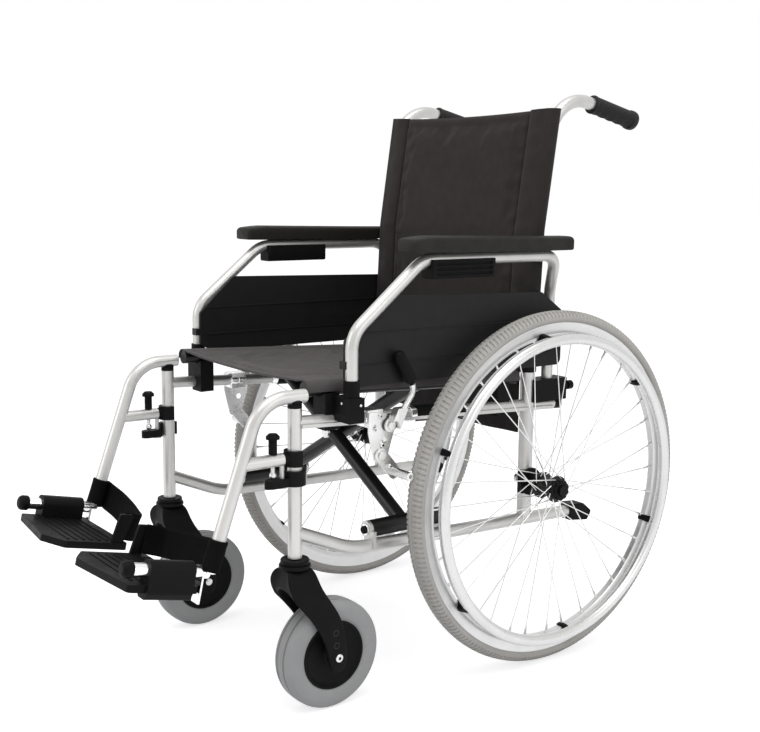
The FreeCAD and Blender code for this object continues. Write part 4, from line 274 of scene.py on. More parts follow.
def solid(name, points, faces, material, body=None, sharp=38):
    """A smooth piece. Edges over an angle in degrees stay sharp. It rides its body, if it has only one."""
    mesh = bpy.data.meshes.new(name)
    mesh.from_pydata([tuple(p) for p in points], [], [tuple(f) for f in faces])
    mesh.validate()
    mesh.polygons.foreach_set("use_smooth", [True] * len(mesh.polygons))
    mesh.set_sharp_from_angle(angle=math.radians(sharp))
    mesh.update()
    mesh.materials.append(material)
    thing = bpy.data.objects.new(name, mesh)
    bpy.context.scene.collection.objects.link(thing)
    if body:
        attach(thing, body)
    return thing


def stand_in(node):
    """Hides a CAD node that a piece of this script stands in for."""
    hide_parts(node)


def facing(faces, side):
    """Faces turned over for a piece that is mirrored to the right side."""
    return [f[::-1] for f in faces] if side < 0 else faces


def ring_faces(rings, count, closed=True):
    """Quads between rings of count points. Closed rings join up from the last to the first."""
    faces = []
    for i in range(rings if closed else rings - 1):
        a, b = i * count, ((i + 1) % rings) * count
        for j in range(count):
            k = (j + 1) % count
            faces.append((a + j, a + k, b + k, b + j))
    return faces


def tube_faces(rings, count, side=1):
    """The faces of a closed tube: rings of count points, and a cap on each end."""
    last = (rings - 1) * count
    faces = ring_faces(rings, count, closed=False)
    return facing(faces + [tuple(range(count))[::-1], tuple(range(last, last + count))], side)


def sheet_faces(rows, loop):
    """The faces of a two-ply sheet: rows of loop points, along the face and back along the rear."""
    faces = ring_faces(rows, loop, closed=False)
    last = (rows - 1) * loop
    for k in range(loop // 2 - 1):
        faces.append((k + 1, k, loop - 1 - k, loop - 2 - k))
        faces.append((last + k, last + k + 1, last + loop - 2 - k, last + loop - 1 - k))
    return faces


def lathe(name, profile, centre, material, steps, side, body, sharp=38, cut=None):
    """A closed profile, [(x, radius)], turned about the X axis. cut(step, radius) makes a radius less."""
    points = []
    for i in range(steps):
        angle = math.tau * i / steps
        for x, r in profile:
            r = (r - cut(i, r) if cut else r) * MM
            y, z = centre.y - r * math.sin(angle), centre.z + r * math.cos(angle)
            points.append((centre.x + x * MM * side, y, z))
    return solid(name, points, facing(ring_faces(steps, len(profile)), side), material, body, sharp)


def round_off(corners, steps=4):
    """A closed outline with its corners rounded: corners are (u, v) or (u, v, radius)."""
    points = []
    count = len(corners)
    for i, corner in enumerate(corners):
        here = np.array(corner[:2], float)
        if len(corner) < 3:
            points.append(tuple(here))
            continue
        before = np.array(corners[i - 1][:2], float) - here
        after = np.array(corners[(i + 1) % count][:2], float) - here
        reach = min(corner[2], np.linalg.norm(before) * 0.48, np.linalg.norm(after) * 0.48)
        a = here + before / np.linalg.norm(before) * reach
        b = here + after / np.linalg.norm(after) * reach
        for t in np.arange(steps + 1) / steps:
            points.append(tuple((1 - t) ** 2 * a + 2 * t * (1 - t) * here + t ** 2 * b))
    return points


def smooth_curve(points, steps=8):
    """The points of a line with smooth bends put between them."""
    out = []
    for i in range(len(points) - 1):
        p0, p1 = np.array(points[max(i - 1, 0)]), np.array(points[i])
        p2, p3 = np.array(points[i + 1]), np.array(points[min(i + 2, len(points) - 1)])
        for k in range(steps):
            t = k / steps
            out.append(0.5 * (2 * p1 + (p2 - p0) * t + (2 * p0 - 5 * p1 + 4 * p2 - p3) * t ** 2
                              + (3 * p1 - p0 - 3 * p2 + p3) * t ** 3))
    return out + [np.array(points[-1])]


def bar(name, start, end, profile, material, body, steps=32, sharp=38):
    """A turned piece on the line from start towards end. profile is [(distance from start, radius)]."""
    start = Vector(start)
    ahead = (Vector(end) - start).normalized()
    across = ahead.orthogonal().normalized()
    top = ahead.cross(across)
    points = []
    for d, r in profile:
        for k in range(steps):
            a = math.tau * k / steps
            points.append(start + ahead * d * MM + (across * math.cos(a) + top * math.sin(a)) * r * MM)
    return solid(name, points, tube_faces(len(profile), steps), material, body, sharp)


def joined(name, things, body):
    """Several objects as one piece."""
    first = things[0]
    with bpy.context.temp_override(active_object=first, selected_editable_objects=things, object=first):
        bpy.ops.object.join()
    first.name = first.data.name = name
    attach(first, body)
    return first


# Rear wheels

def tyre_profile(slot):
    """The rear tyre's section. In a slot the shoulder blocks are cut away."""
    deep = 2.7 if slot else 0.0
    half = [
        (0.0, 305.0), (2.6, 304.9), (3.2, 303.7), (4.6, 303.6), (5.2, 304.6 - deep * 0.8),
        (8.0, 303.9 - deep), (9.3, 303.4 - deep), (9.9, 302.0 - deep * 0.3), (10.9, 301.6 - deep * 0.3),
        (11.5, 302.0 - deep),
        (13.4, 300.4 - deep), (15.0, 298.4 - deep), (16.3, 296.4 - deep * 0.6), (17.0, 294.4), (17.4, 291.8),
        (17.1, 289.4), (16.0, 287.4), (14.6, 286.4), (13.2, 286.0), (12.2, 285.0), (9.4, 283.0), (8.7, 266.2),
    ]
    return [(-x, r) for x, r in reversed(half[1:])] + half


def make_tyre(name, side, centre):
    blocks = 222
    shapes = [tyre_profile(slot) for slot in (False, False, True, True)]
    block_edges = (-0.25, 0.25, 0.34, 0.66)
    points = []
    for i in range(blocks * 4):
        for x, r in shapes[i % 4]:
            lean = 0.35 * min(1.0, abs(x) / 17.4) if abs(x) < 16.5 else 0.0
            a = math.tau * (i // 4 + block_edges[i % 4] + lean) / blocks
            r *= MM
            points.append((centre.x + x * MM * side, centre.y - r * math.sin(a), centre.z + r * math.cos(a)))
    faces = facing(ring_faces(blocks * 4, len(shapes[0])), side)
    tyre = solid(f"{name}_tyre_tread", points, faces, TYRE, f"{name}_wheel", 34)
    stand_in(f"{name}_tyre")


def make_tabs(name, side, centre):
    """The handrim's six stand-offs, each with a clip over the rim's inner face."""
    stations = [  # place along X, half the width, inner and outer radius
        (-7.4, 4.2, 258.8, 262.0), (-6.6, 5.0, 258.2, 262.4), (4.6, 5.6, 258.0, 262.6),
        (9.0, 6.0, 258.6, 268.0), (12.4, 6.2, 259.6, 273.0), (14.6, 6.0, 260.2, 273.0),
        (20.0, 5.2, 260.6, 272.0), (26.0, 5.0, 261.0, 270.6), (31.0, 4.8, 262.6, 270.4),
        (33.0, 4.0, 264.0, 270.0),
    ]
    tabs = []
    for i in range(6):
        angle = math.radians(9 + 60 * i)
        out = Vector((0, -math.sin(angle), math.cos(angle)))
        round_way = Vector((side, 0, 0)).cross(out)
        points = []
        for x, half, inner, outer in stations:
            for k in range(16):
                ca, sa = math.cos(math.tau * k / 16), math.sin(math.tau * k / 16)
                square = 1 / max(abs(ca), abs(sa)) ** 0.55
                r = (inner + outer) / 2 + (outer - inner) / 2 * sa * square
                offset = Vector((x * side, 0, 0)) + out * r + round_way * half * ca * square
                points.append(centre + offset * MM)
        tabs.append(solid(f"{name}_tab_{i}", points, tube_faces(len(stations), 16), BLACK, sharp=50))
    joined(f"{name}_handrim_tabs", tabs, f"{name}_wheel")


def make_nipples(name, side, centre):
    """A nipple on the rim's end of each spoke. The spokes leave the hub's two flanges by both faces."""
    profile = [(0, 2.6), (1.2, 2.9), (3.4, 2.6), (4.0, 1.9), (14.5, 1.8), (15.6, 1.4)]
    nipples = []
    for i in range(36):
        rim_angle = math.tau * i / 36
        flank = 1 if i % 2 else -1
        leads = 1 if (i // 2) % 2 else -1
        hub_angle = rim_angle + leads * math.radians(58)
        x = flank * side * (13.9 if leads > 0 else 20.6)
        start = centre + Vector((x, 19 * math.cos(hub_angle), 19 * math.sin(hub_angle))) * MM
        end = Vector((flank * side * 3, 261 * math.cos(rim_angle), 261 * math.sin(rim_angle))) * MM + centre
        nipples.append(bar(f"{name}_nipple_{i}", end, start, profile, STEEL, None, 10))
    joined(f"{name}_spoke_nipples", nipples, f"{name}_wheel")


def make_wheel(name, side):
    body = f"{name}_wheel"
    centre = Vector((WHEEL_X * side, AXLE_Y, WHEEL_R)) * MM
    make_tyre(name, side, centre)
    rim_outline = [
        (-13.4, 286.6, 1.0), (-9.9, 286.0, 0.6), (-9.4, 266.0), (9.4, 266.0), (9.9, 286.0, 0.6),
        (13.4, 286.6, 1.0), (12.6, 281.0, 2.0), (12.6, 271.5, 2.0), (11.8, 267.6, 1.5), (6.4, 261.6, 2.0),
        (4.6, 260.6, 1.2), (-4.6, 260.6, 1.2), (-6.4, 261.6, 2.0), (-11.8, 267.6, 1.5), (-12.6, 271.5, 2.0),
        (-12.6, 281.0, 2.0),
    ]
    rim = lathe(f"{name}_rim_ring", round_off(rim_outline, 3), centre, RIM, 216, side, body)
    stand_in(f"{name}_rim")
    section = [(31.0 + 9.5 * math.cos(math.tau * k / 24), 260.0 + 9.5 * math.sin(math.tau * k / 24))
               for k in range(24)]
    ring = lathe(f"{name}_handrim_ring", section, centre, HANDRIM, 216, side, body)
    stand_in(f"{name}_handrim")
    make_tabs(name, side, centre)
    make_nipples(name, side, centre)

    barrel = [
        (-25.0, 6.6), (-25.0, 12.0), (-24.0, 15.2), (-20.0, 15.5), (-19.4, 16.6), (-19.0, 21.5),
        (-18.4, 23.0), (-15.6, 23.0), (-15.0, 21.5), (-14.4, 16.6), (-10.0, 14.4), (-4.0, 13.8), (4.0, 13.8),
        (10.0, 14.4), (14.4, 16.6), (15.0, 21.5), (15.6, 23.0), (18.4, 23.0), (19.0, 21.5), (19.4, 16.6),
        (22.0, 15.5), (25.2, 15.5), (25.2, 6.6),
    ]
    hub = lathe(f"{name}_hub_barrel", barrel, centre, BLACK_PAINT, 72, side, body, 30)
    stand_in(f"{name}_hub")
    outline = [(25.3, 12.0), (25.4, 17.0), (26.0, 17.9), (28.6, 17.9), (29.6, 17.0), (30.0, 14.0),
               (30.0, 9.8), (29.4, 9.4), (29.4, 6.8), (27.0, 6.8), (25.3, 6.8)]

    def flute(i, r):
        """How deep the ten flutes cut into the cap's edge at a step."""
        return 2.6 * (1 - abs(math.cos(math.tau * i / 120 * 10 / 2)) ** 0.5) if r > 13.5 else 0.0

    cap = lathe(f"{name}_hub_cap", outline, centre, BLACK, 120, side, body, 40, cut=flute)


# Casters

def make_caster(name, side):
    body, fork = f"{name}_caster_wheel", f"{name}_caster_fork"
    centre = place(POST_X * side, CASTER_Y, CASTER_R)
    half = [
        (0.0, 87.3), (5.4, 87.3), (6.9, 87.0), (7.5, 85.6), (8.1, 83.6), (9.0, 83.0), (9.9, 83.6),
        (10.5, 85.6), (11.1, 86.8), (12.6, 86.8), (15.2, 86.0), (18.2, 83.6), (20.6, 80.0), (21.7, 75.5),
        (22.0, 70.0), (21.9, 64.0), (21.4, 59.5), (20.4, 57.0), (19.6, 56.4), (19.4, 55.3),
    ]
    profile = [(-x, r) for x, r in reversed(half[1:])] + half
    tyre = lathe(f"{name}_caster_band", profile, centre, CASTER_TYRE, 144, side, body, 50)
    stand_in(f"{name}_caster_tyre")
    disc = [
        (-25.0, 4.7), (-25.0, 9.4), (-24.4, 10.6), (-20.0, 11.8), (-15.6, 14.0), (-14.4, 17.5), (-14.2, 30.0),
        (-14.8, 42.0), (-16.4, 47.6), (-18.6, 50.2), (-20.4, 51.6), (-21.0, 53.2), (-20.6, 54.8),
        (-19.2, 55.2),
    ]
    disc += [(-x, r) for x, r in reversed(disc)]
    hub = lathe(f"{name}_caster_disc", disc, centre, BLACK, 144, side, body, 45)
    stand_in(f"{name}_caster_hub")
    out = Vector((side, 0, 0)) * MM
    # Painted shade: a black disc just over the bolt's outer end stands in for the dark inside of its socket,
    # which is not cut.
    socket = bar(f"{name}_caster_bolt_socket_shade", centre + out * 34.5, centre + out * 38.5,
                 [(0, 2.9), (2.0, 2.9), (2.1, 2.4)], BLACK, fork, 6, 30)


def curve_at(points, z):
    """The place along Y of a side curve, [(z, y)] with rising z, at a height."""
    return float(np.interp(z, [p[0] for p in points], [p[1] for p in points]))


def make_fork(name, side):
    """The caster's fork: two S-shaped legs that meet in a domed crown under a stepped collar."""
    body = f"{name}_caster_fork"
    ahead = smooth_curve([  # (height, place along Y from the post) of the legs' front edge
        (62.5, 59.5), (64.0, 53.5), (69.0, 48.0), (78.0, 44.6), (90.0, 42.6), (105.0, 38.6), (120.0, 32.6),
        (137.0, 24.0), (155.0, 12.4), (171.0, -0.6), (187.0, -14.0), (204.0, -23.0), (219.0, -27.2),
        (231.0, -25.6), (238.0, -21.0)])
    behind = smooth_curve([
        (62.5, 60.5), (64.0, 66.0), (69.0, 72.0), (78.0, 75.6), (92.0, 76.4), (110.0, 75.0), (133.0, 70.6),
        (153.0, 63.4), (170.0, 53.6), (187.0, 42.0), (203.0, 32.0), (219.0, 26.2), (231.0, 23.2),
        (238.0, 20.0)])
    heights = (63.5, 64.6, 66.4, 69.0, 73.0, 79.0, 87.3, *np.linspace(96.0, 176.0, 17))
    stations = [((32.4, z), (25.6, z)) for z in heights]
    for k in range(1, 17):
        a = math.radians(90.0 * k / 16)
        c, s = (math.cos(a) if k < 16 else 0.0), math.sin(a)
        stations.append(((32.4 * c ** 0.62, 186.0 + 52.0 * s ** 0.92), (25.6 * c ** 0.8, 178.0 + 27.0 * s)))
    whole = [((-o[0], o[1]), (-i[0], i[1])) for o, i in stations] + stations[-2::-1]
    points = []
    for (ox, oz), (ix, iz) in whole:
        thick = math.hypot(ox - ix, oz - iz)
        in_x, in_z = (ix - ox) / max(thick, 1e-6), (iz - oz) / max(thick, 1e-6)
        front, back = curve_at(ahead, oz), curve_at(behind, oz)
        soft = min(3.0, thick * 0.42, (back - front) * 0.4)
        corners = ((ox, oz, front, 1, 1), (ox, oz, back, -1, 1),
                   (ix, iz, curve_at(behind, iz), -1, -1), (ix, iz, curve_at(ahead, iz), 1, -1))
        for index, (x, z, y, way, depth) in enumerate(corners):
            for step in range(5):
                a = math.radians(22.5 * (step if index % 2 else 4 - step))
                y_shift, shift = way * soft * (1 - math.sin(a)), depth * soft * (1 - math.cos(a))
                x_side = (POST_X + x + in_x * shift) * side
                points.append(place(x_side, POST_Y + y + y_shift, z + in_z * shift))
    legs = solid(f"{name}_fork_arch", points, tube_faces(len(whole), 20, side), BLACK, sharp=50)
    mesh = bmesh.new()
    mesh.from_mesh(legs.data)
    bmesh.ops.recalc_face_normals(mesh, faces=mesh.faces)
    mesh.to_mesh(legs.data)
    mesh.free()
    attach(legs, body)
    stand_in(body)

    profile = [(236.5, 0.4), (236.5, 23.4), (237.6, 24.6), (241.4, 24.6), (242.6, 23.6), (242.8, 20.8),
               (244.2, 20.2), (244.4, 21.4), (245.2, 22.2), (249.0, 22.2), (250.4, 21.2), (250.6, 17.0),
               (249.4, 12.0), (249.4, 0.4)]
    foot = place(POST_X * side, POST_Y, 0)
    collar = bar(f"{name}_fork_collar", foot, foot + Vector((0, 0, 1)), profile, BLACK, body, 64, 35)
    middle, reach = place(POST_X * side, CASTER_Y, CASTER_R), Vector((36.5, 0, 0)) * MM
    bolt = bar(f"{name}_caster_bolt", middle - reach, middle + reach,
               [(0, 5.2), (0.8, 6.4), (4.1, 6.6), (4.1, 4.5), (68.9, 4.5), (68.9, 6.6), (72.2, 6.4),
                (73.0, 5.2)],
               STEEL, body, 40, 40)
    rim = [(0, 5.2), (0.8, 5.4), (1.2, 5.0), (1.2, 4.0), (0.1, 3.6), (0.1, 0.4)]
    for i, (y, z) in enumerate(((56.5, 107.8), (55.0, 128.3))):
        for label, way in (("outer", 1), ("inner", -1)):
            start = place((POST_X + way * 31.6) * side, POST_Y + y, z)
            hole = bar(f"{name}_fork_hole_{i}_{label}", start, start + Vector((way * side, 0, 0)), rim,
                       BLACK_PAINT, body, 28, 35)


# Push grips

def make_grip(name, side):
    fall = math.atan2(979.0 - 936.0, 234.0 - 44.7)
    ahead = Vector((0, math.cos(fall), -math.sin(fall)))
    end = place(POST_X * side, 234.0, 936.0) + ahead * 8 * MM
    start = end - ahead * 112 * MM
    profile = [(0.0, 11.2), (0.0, 14.0), (0.8, 15.6), (2.2, 16.3), (4.8, 16.3), (6.2, 15.2)]
    for rib in range(24):
        profile += [(7.8 + 3.7 * rib + d, r) for d, r in ((0, 15.0), (0.5, 15.5), (2.2, 15.5), (2.7, 15.0))]
    profile += [(97.5, 15.0), (98.5, 16.5), (100.0, 17.2), (106.0, 17.4), (109.5, 16.8), (111.3, 15.0),
                (112.0, 11.0), (111.2, 6.0), (110.4, 2.0)]
    grip = bar(f"{name}_grip_sleeve", start, end, profile, GRIP, None, 40, 42)
    under = -Vector((1, 0, 0)).cross(ahead)
    for vertex in grip.data.vertices:
        d = (vertex.co - start).dot(ahead)
        radial = vertex.co - start - ahead * d
        if 0.012 < d < 0.094 and radial.length > 0.0135:
            wave = 0.5 - 0.5 * math.cos((d - 0.012) / 0.0205 * math.tau)
            vertex.co -= radial.normalized() * 1.1 * MM * wave * max(0.0, radial.normalized().dot(under))
    grip.data.update()
    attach(grip, f"{name}_frame")
    stand_in(f"{name}_push_grip")


# Arm pads

def power(value, exponent):
    """A power that keeps the sign."""
    return math.copysign(abs(value) ** exponent, value)


def make_arm_pad(name, side):
    body, node = f"{name}_armrest", f"{name}_armrest_pad"
    front, rear, bottom, top, middle, half = -301.0, 42.0, 710.0, 735.0, 251.5, 22.5
    stations = np.concatenate([np.linspace(0, 1, 12) ** 1.6 * 0.10, np.linspace(0.115, 0.965, 46),
                               1 - np.linspace(1, 0, 8) ** 1.8 * 0.03])
    count = 40
    points = []
    for t in stations:
        y = front + (rear - front) * t
        gaps = (y - front) / 5.0, (y - front) / 44.0, (rear - y) / 5.0
        nose, slope, tail = (1 - min(1.0, gap) for gap in gaps)
        crown = top + 3.6 * (1 - t) ** 1.4 - 1.8 * t - 4.4 * slope ** 1.6 - 2.4 * nose ** 2 - 3.0 * tail ** 2
        wide = half - 1.8 * nose ** 2 - 2.0 * tail ** 2 + 0.35 * math.sin(7.0 * t)
        low = bottom + 2.4 * (1 - t) ** 3 + 1.4 * tail ** 2 + 1.0 * nose ** 2
        for k in range(count):
            ca, sa = math.cos(math.tau * k / count), math.sin(math.tau * k / count)
            u = power(ca, 0.36 if sa > 0 else 0.16) * wide
            v = (crown + low) / 2 + power(sa, 0.42 if sa > 0 else 0.2) * (crown - low) / 2
            if sa > 0.9:
                v += 0.5 * (1 - (u / wide) ** 2)
            if sa < 0.1 and abs(v - (low + 4.0)) < 1.6:
                u *= 0.985
            points.append(place((middle + u) * side, y, v))
    pad = solid(f"{name}_arm_cushion", points, tube_faces(len(stations), count, side), FOAM, body, 60)
    stand_in(node)

    # The holder under the pad, with three grooves that stop short of its ends.
    first, last = -256.0, -125.0
    section = [(-15, 671, 2.5), (15, 671, 2.5)]
    for low in (676.0, 684.0, 692.0):
        section += [(15, low, 0.5), (12.7, low + 0.5, 0.3), (12.7, low + 3.5, 0.3), (15, low + 4, 0.5)]
    section = round_off(section + [(15, 701, 2), (-15, 701, 2)], 3)
    ends = (0.0, 0.6, 2.0, 7.6, 8.2, 9.0)
    path = [*(first + d for d in ends), *np.linspace(first + 12, last - 12, 16),
            *(last - d for d in ends[::-1])]
    points = []
    for y in path:
        end = min(y - first, last - y)
        soft = 1.2 * max(0.0, 1 - end / 2.0) ** 1.5
        for u, v in section:
            wide = 15.0 if u > 12.5 and 675.0 < v < 697.0 and end <= 7.9 else u
            x = 247.0 + wide - math.copysign(soft, u)
            points.append(place(x * side, y, v + (soft if v < 680 else 0)))
    holder = solid(f"{name}_arm_holder", points, tube_faces(len(path), len(section), side), BLACK, body, 30)


# Canvases

def rail_z(y):
    """The height of the seat rails' middle line."""
    return 508.0 + (487.3 - 508.0) * (y + 453.0) / (453.0 - 20.0)


def cloth_pass(thing, pins, pressure, frames, cap, shrink):
    """Lets the free middle of a canvas settle as cloth. Each point stays within cap of its start."""
    rest = np.array([v.co for v in thing.data.vertices])
    group = thing.vertex_groups.new(name="held")
    for index, weight in enumerate(pins):
        if weight > 0:
            group.add([index], float(weight), "REPLACE")
    bpy.context.view_layer.objects.active = thing
    modifier = thing.modifiers.new("settle", "CLOTH")
    values = {
        "quality": 6, "mass": 0.3, "tension_stiffness": 12.0, "compression_stiffness": 12.0,
        "shear_stiffness": 4.8, "bending_stiffness": 0.4, "vertex_group_mass": "held", "shrink_min": shrink,
        "use_pressure": True, "uniform_pressure_force": pressure,
    }
    for key, value in values.items():
        setattr(modifier.settings, key, value)
    modifier.settings.effector_weights.gravity = 0.0
    modifier.collision_settings.use_collision = False
    modifier.point_cache.frame_start = 1
    modifier.point_cache.frame_end = frames
    scene = bpy.context.scene
    for step in range(1, frames + 1):
        scene.frame_set(step)
    settled = thing.evaluated_get(bpy.context.evaluated_depsgraph_get())
    moved = np.array([v.co for v in settled.to_mesh().vertices])
    settled.to_mesh_clear()
    thing.modifiers.remove(modifier)
    thing.vertex_groups.clear()
    scene.frame_set(1)
    shift = moved - rest
    length = np.linalg.norm(shift, axis=1)
    keep = np.where(length > cap, cap / np.maximum(length, 1e-9), 1.0)
    out = rest + shift * keep[:, None]
    lost = ~np.isfinite(out).all(axis=1)
    out[lost] = rest[lost]
    thing.data.vertices.foreach_set("co", out.astype(np.float32).ravel())
    thing.data.update()


def stitches(name, lines, body, pitch=4.6, length=3.2, radius=0.45):
    """Rows of short raised stitches. Each line is a list of (point, normal) along the seam, in metres."""
    points, faces = [], []
    for line in lines:
        walked, target = 0.0, 0.0
        for (a, na), (b, nb) in zip(line, line[1:]):
            run = (b - a).length
            while target <= walked + run and run > 0:
                t = (target - walked) / run
                centre, normal = a.lerp(b, t), na.lerp(nb, t).normalized()
                ahead = (b - a).normalized()
                across = ahead.cross(normal).normalized()
                base = len(points)
                for d, r in ((-0.5, 0.25), (-0.36, 0.85), (0.0, 1.0), (0.36, 0.85), (0.5, 0.25)):
                    sink = -0.15 * radius if abs(d) < 0.4 else -0.7 * radius
                    for k in range(6):
                        angle = math.tau * k / 6
                        offset = across * math.cos(angle) * r * radius
                        offset += normal * (math.sin(angle) * r * radius + sink)
                        points.append(centre + (ahead * d * length + offset) * MM)
                faces += [tuple(base + index for index in face) for face in ring_faces(5, 6, closed=False)]
                target += pitch * MM
            walked += run
    return solid(name, points, faces, THREAD, body)


def seat_height(x, t):
    """How far above the rail's middle line the seat's top lies. t runs from 0 in front to 1 behind."""
    u = min(1.0, abs(x) / 200.0)
    front_dip = 1.4 * math.exp(-(t / 0.05) ** 2) * (1 - u ** 2)
    crease = 1.3 * math.exp(-((abs(x) - 178.0) / 3.0) ** 2)
    return 14.5 - 6.0 * (1 - u ** 2.2) - front_dip - crease


def make_seat():
    """The seat canvas: hemmed in front and behind, and wrapped over the rails."""
    rows, wrap, inner_wrap, edge_x = 85, 14.5, 12.6, 200.0
    scale = inner_wrap / wrap
    arcs = np.radians(np.linspace(0, 104, 12))[1:]
    points, pins = [], []
    for t, y in zip(np.linspace(0, 1, rows), np.linspace(-454.5, -19.0, rows)):
        hem = t < 0.035 or t > 0.965
        side = [(edge_x + wrap * math.sin(a), wrap * math.cos(a)) for a in arcs]
        top = [(-u, v) for u, v in side[::-1]]
        top += [(x, seat_height(x, t)) for x in np.linspace(-edge_x, edge_x, 97)] + side
        under = []
        for u, v in reversed(top):
            if abs(u) > edge_x:
                rail = math.copysign(edge_x, u)
                under.append((rail + (u - rail) * scale, v * scale))
            else:
                ply, thinning = (3.4, 1.5) if t < 0.06 or t > 0.95 else (3.0, 1.1)
                under.append((u, v - ply + thinning * (abs(u) / edge_x) ** 6))
        for u, v in top + under:
            points.append(place(u, y, rail_z(y) + v))
            pins.append(1.0 if hem else 0.0)
    pins = np.maximum(pins, np.clip((np.abs([p.x for p in points]) / MM - 150.0) / 22.0, 0, 1))
    loop = len(points) // rows
    half = loop // 2
    seat = solid("seat_canvas_cloth", points, sheet_faces(rows, loop), SEAT_CLOTH, sharp=70)
    cloth_pass(seat, pins, 0.0, 14, 0.0035, shrink=-0.012)
    co = [v.co.copy() for v in seat.data.vertices]

    def on_top(row, column):
        """A point of the seat's top with its normal."""
        def at(r, c):
            return co[min(max(r, 0), rows - 1) * loop + min(max(c, 0), half - 1)]
        along = at(row + 1, column) - at(row - 1, column)
        across = at(row, column + 1) - at(row, column - 1)
        return at(row, column), across.cross(along).normalized()

    lines = [[on_top(row, c) for c in range(14, half - 14)] for row in (3, rows - 5)]
    lines += [[on_top(row, column) for row in range(3, rows - 4)] for column in (16, half - 17)]
    thread = stitches("seat_canvas_stitching", lines, None)
    for thing in (seat, thread):
        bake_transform(thing)
    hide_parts("seat_canvas")


BACK_LOW, BACK_HIGH = 545.0, 946.0
SEAM_X = 171.0


def cane_y(z):
    """The place along Y of the back cane's middle line."""
    if z < 742.0:
        return 10.0 * max(0.0, z - 523.0) / 219.0
    return 10.0 + (44.7 - 10.0) / (979.0 - 742.0) * (z - 742.0)


def back_front(x, z):
    """How far the back's face lies from the cane's middle along Y, with its pinched seams."""
    u = min(1.0, abs(x) / SEAM_X)
    groove = 3.6 * math.exp(-((abs(x) - SEAM_X) / 3.2) ** 2)
    end = min(z - BACK_LOW, BACK_HIGH - z)
    hem = 1.6 * math.exp(-((end - 17.0) / 2.4) ** 2) + 2.4 * math.exp(-(end / 4.0) ** 2)
    return -13.4 + 2.6 * (1 - u ** 2) + groove + (hem if abs(x) <= SEAM_X else hem * 0.5)


def dipped(x, z, share):
    """A height on the back, lowered between the canes near the top edge, where share is 1."""
    return z - 4.5 * (1 - min(1.0, abs(x) / POST_X) ** 2) * share ** 6


def make_back_pad():
    """The padded middle of the back: a thin pillow, closed at its seams and hems."""
    columns, rows = 69, 77
    xs = np.linspace(-SEAM_X, SEAM_X, columns)
    points, pins = [], []
    for z in np.linspace(BACK_LOW, BACK_HIGH, rows):
        end = min(z - BACK_LOW, BACK_HIGH - z)
        share = (z - BACK_LOW) / (BACK_HIGH - BACK_LOW)
        for rear in (0, 1):
            for x in (xs[::-1] if rear else xs):
                edge = SEAM_X - abs(x)
                full = 1 - 0.62 * math.exp(-(edge / 9.0) ** 2) - 0.5 * math.exp(-(end / 7.0) ** 2)
                pucker = 0.8 * math.sin(z / 5.1) + 0.6 * math.sin(z / 8.3 + 1.0) if edge > 3 else 0.0
                pucker *= math.exp(-(edge / 20.0) ** 2)
                d = back_front(x, z) + pucker + 8.2 * max(full, 0.2) * rear
                points.append(place(x, cane_y(z) + d, dipped(x, z, share)))
                pins.append(1.0 if edge < 9 or end < 20 or rear else 0.0)
    loop = columns * 2
    pad = solid("back_pad", points, sheet_faces(rows, loop), BACK_CLOTH, sharp=80)
    cloth_pass(pad, pins, 1.6, 16, 0.0045, shrink=-0.015)
    co = [v.co.copy() for v in pad.data.vertices]
    ahead = Vector((0, -1, 0))
    lines = [[(co[row * loop + c], ahead) for c in range(2, columns - 2)] for row in (3, rows - 4)]
    return pad, stitches("back_pad_stitching", lines, None)


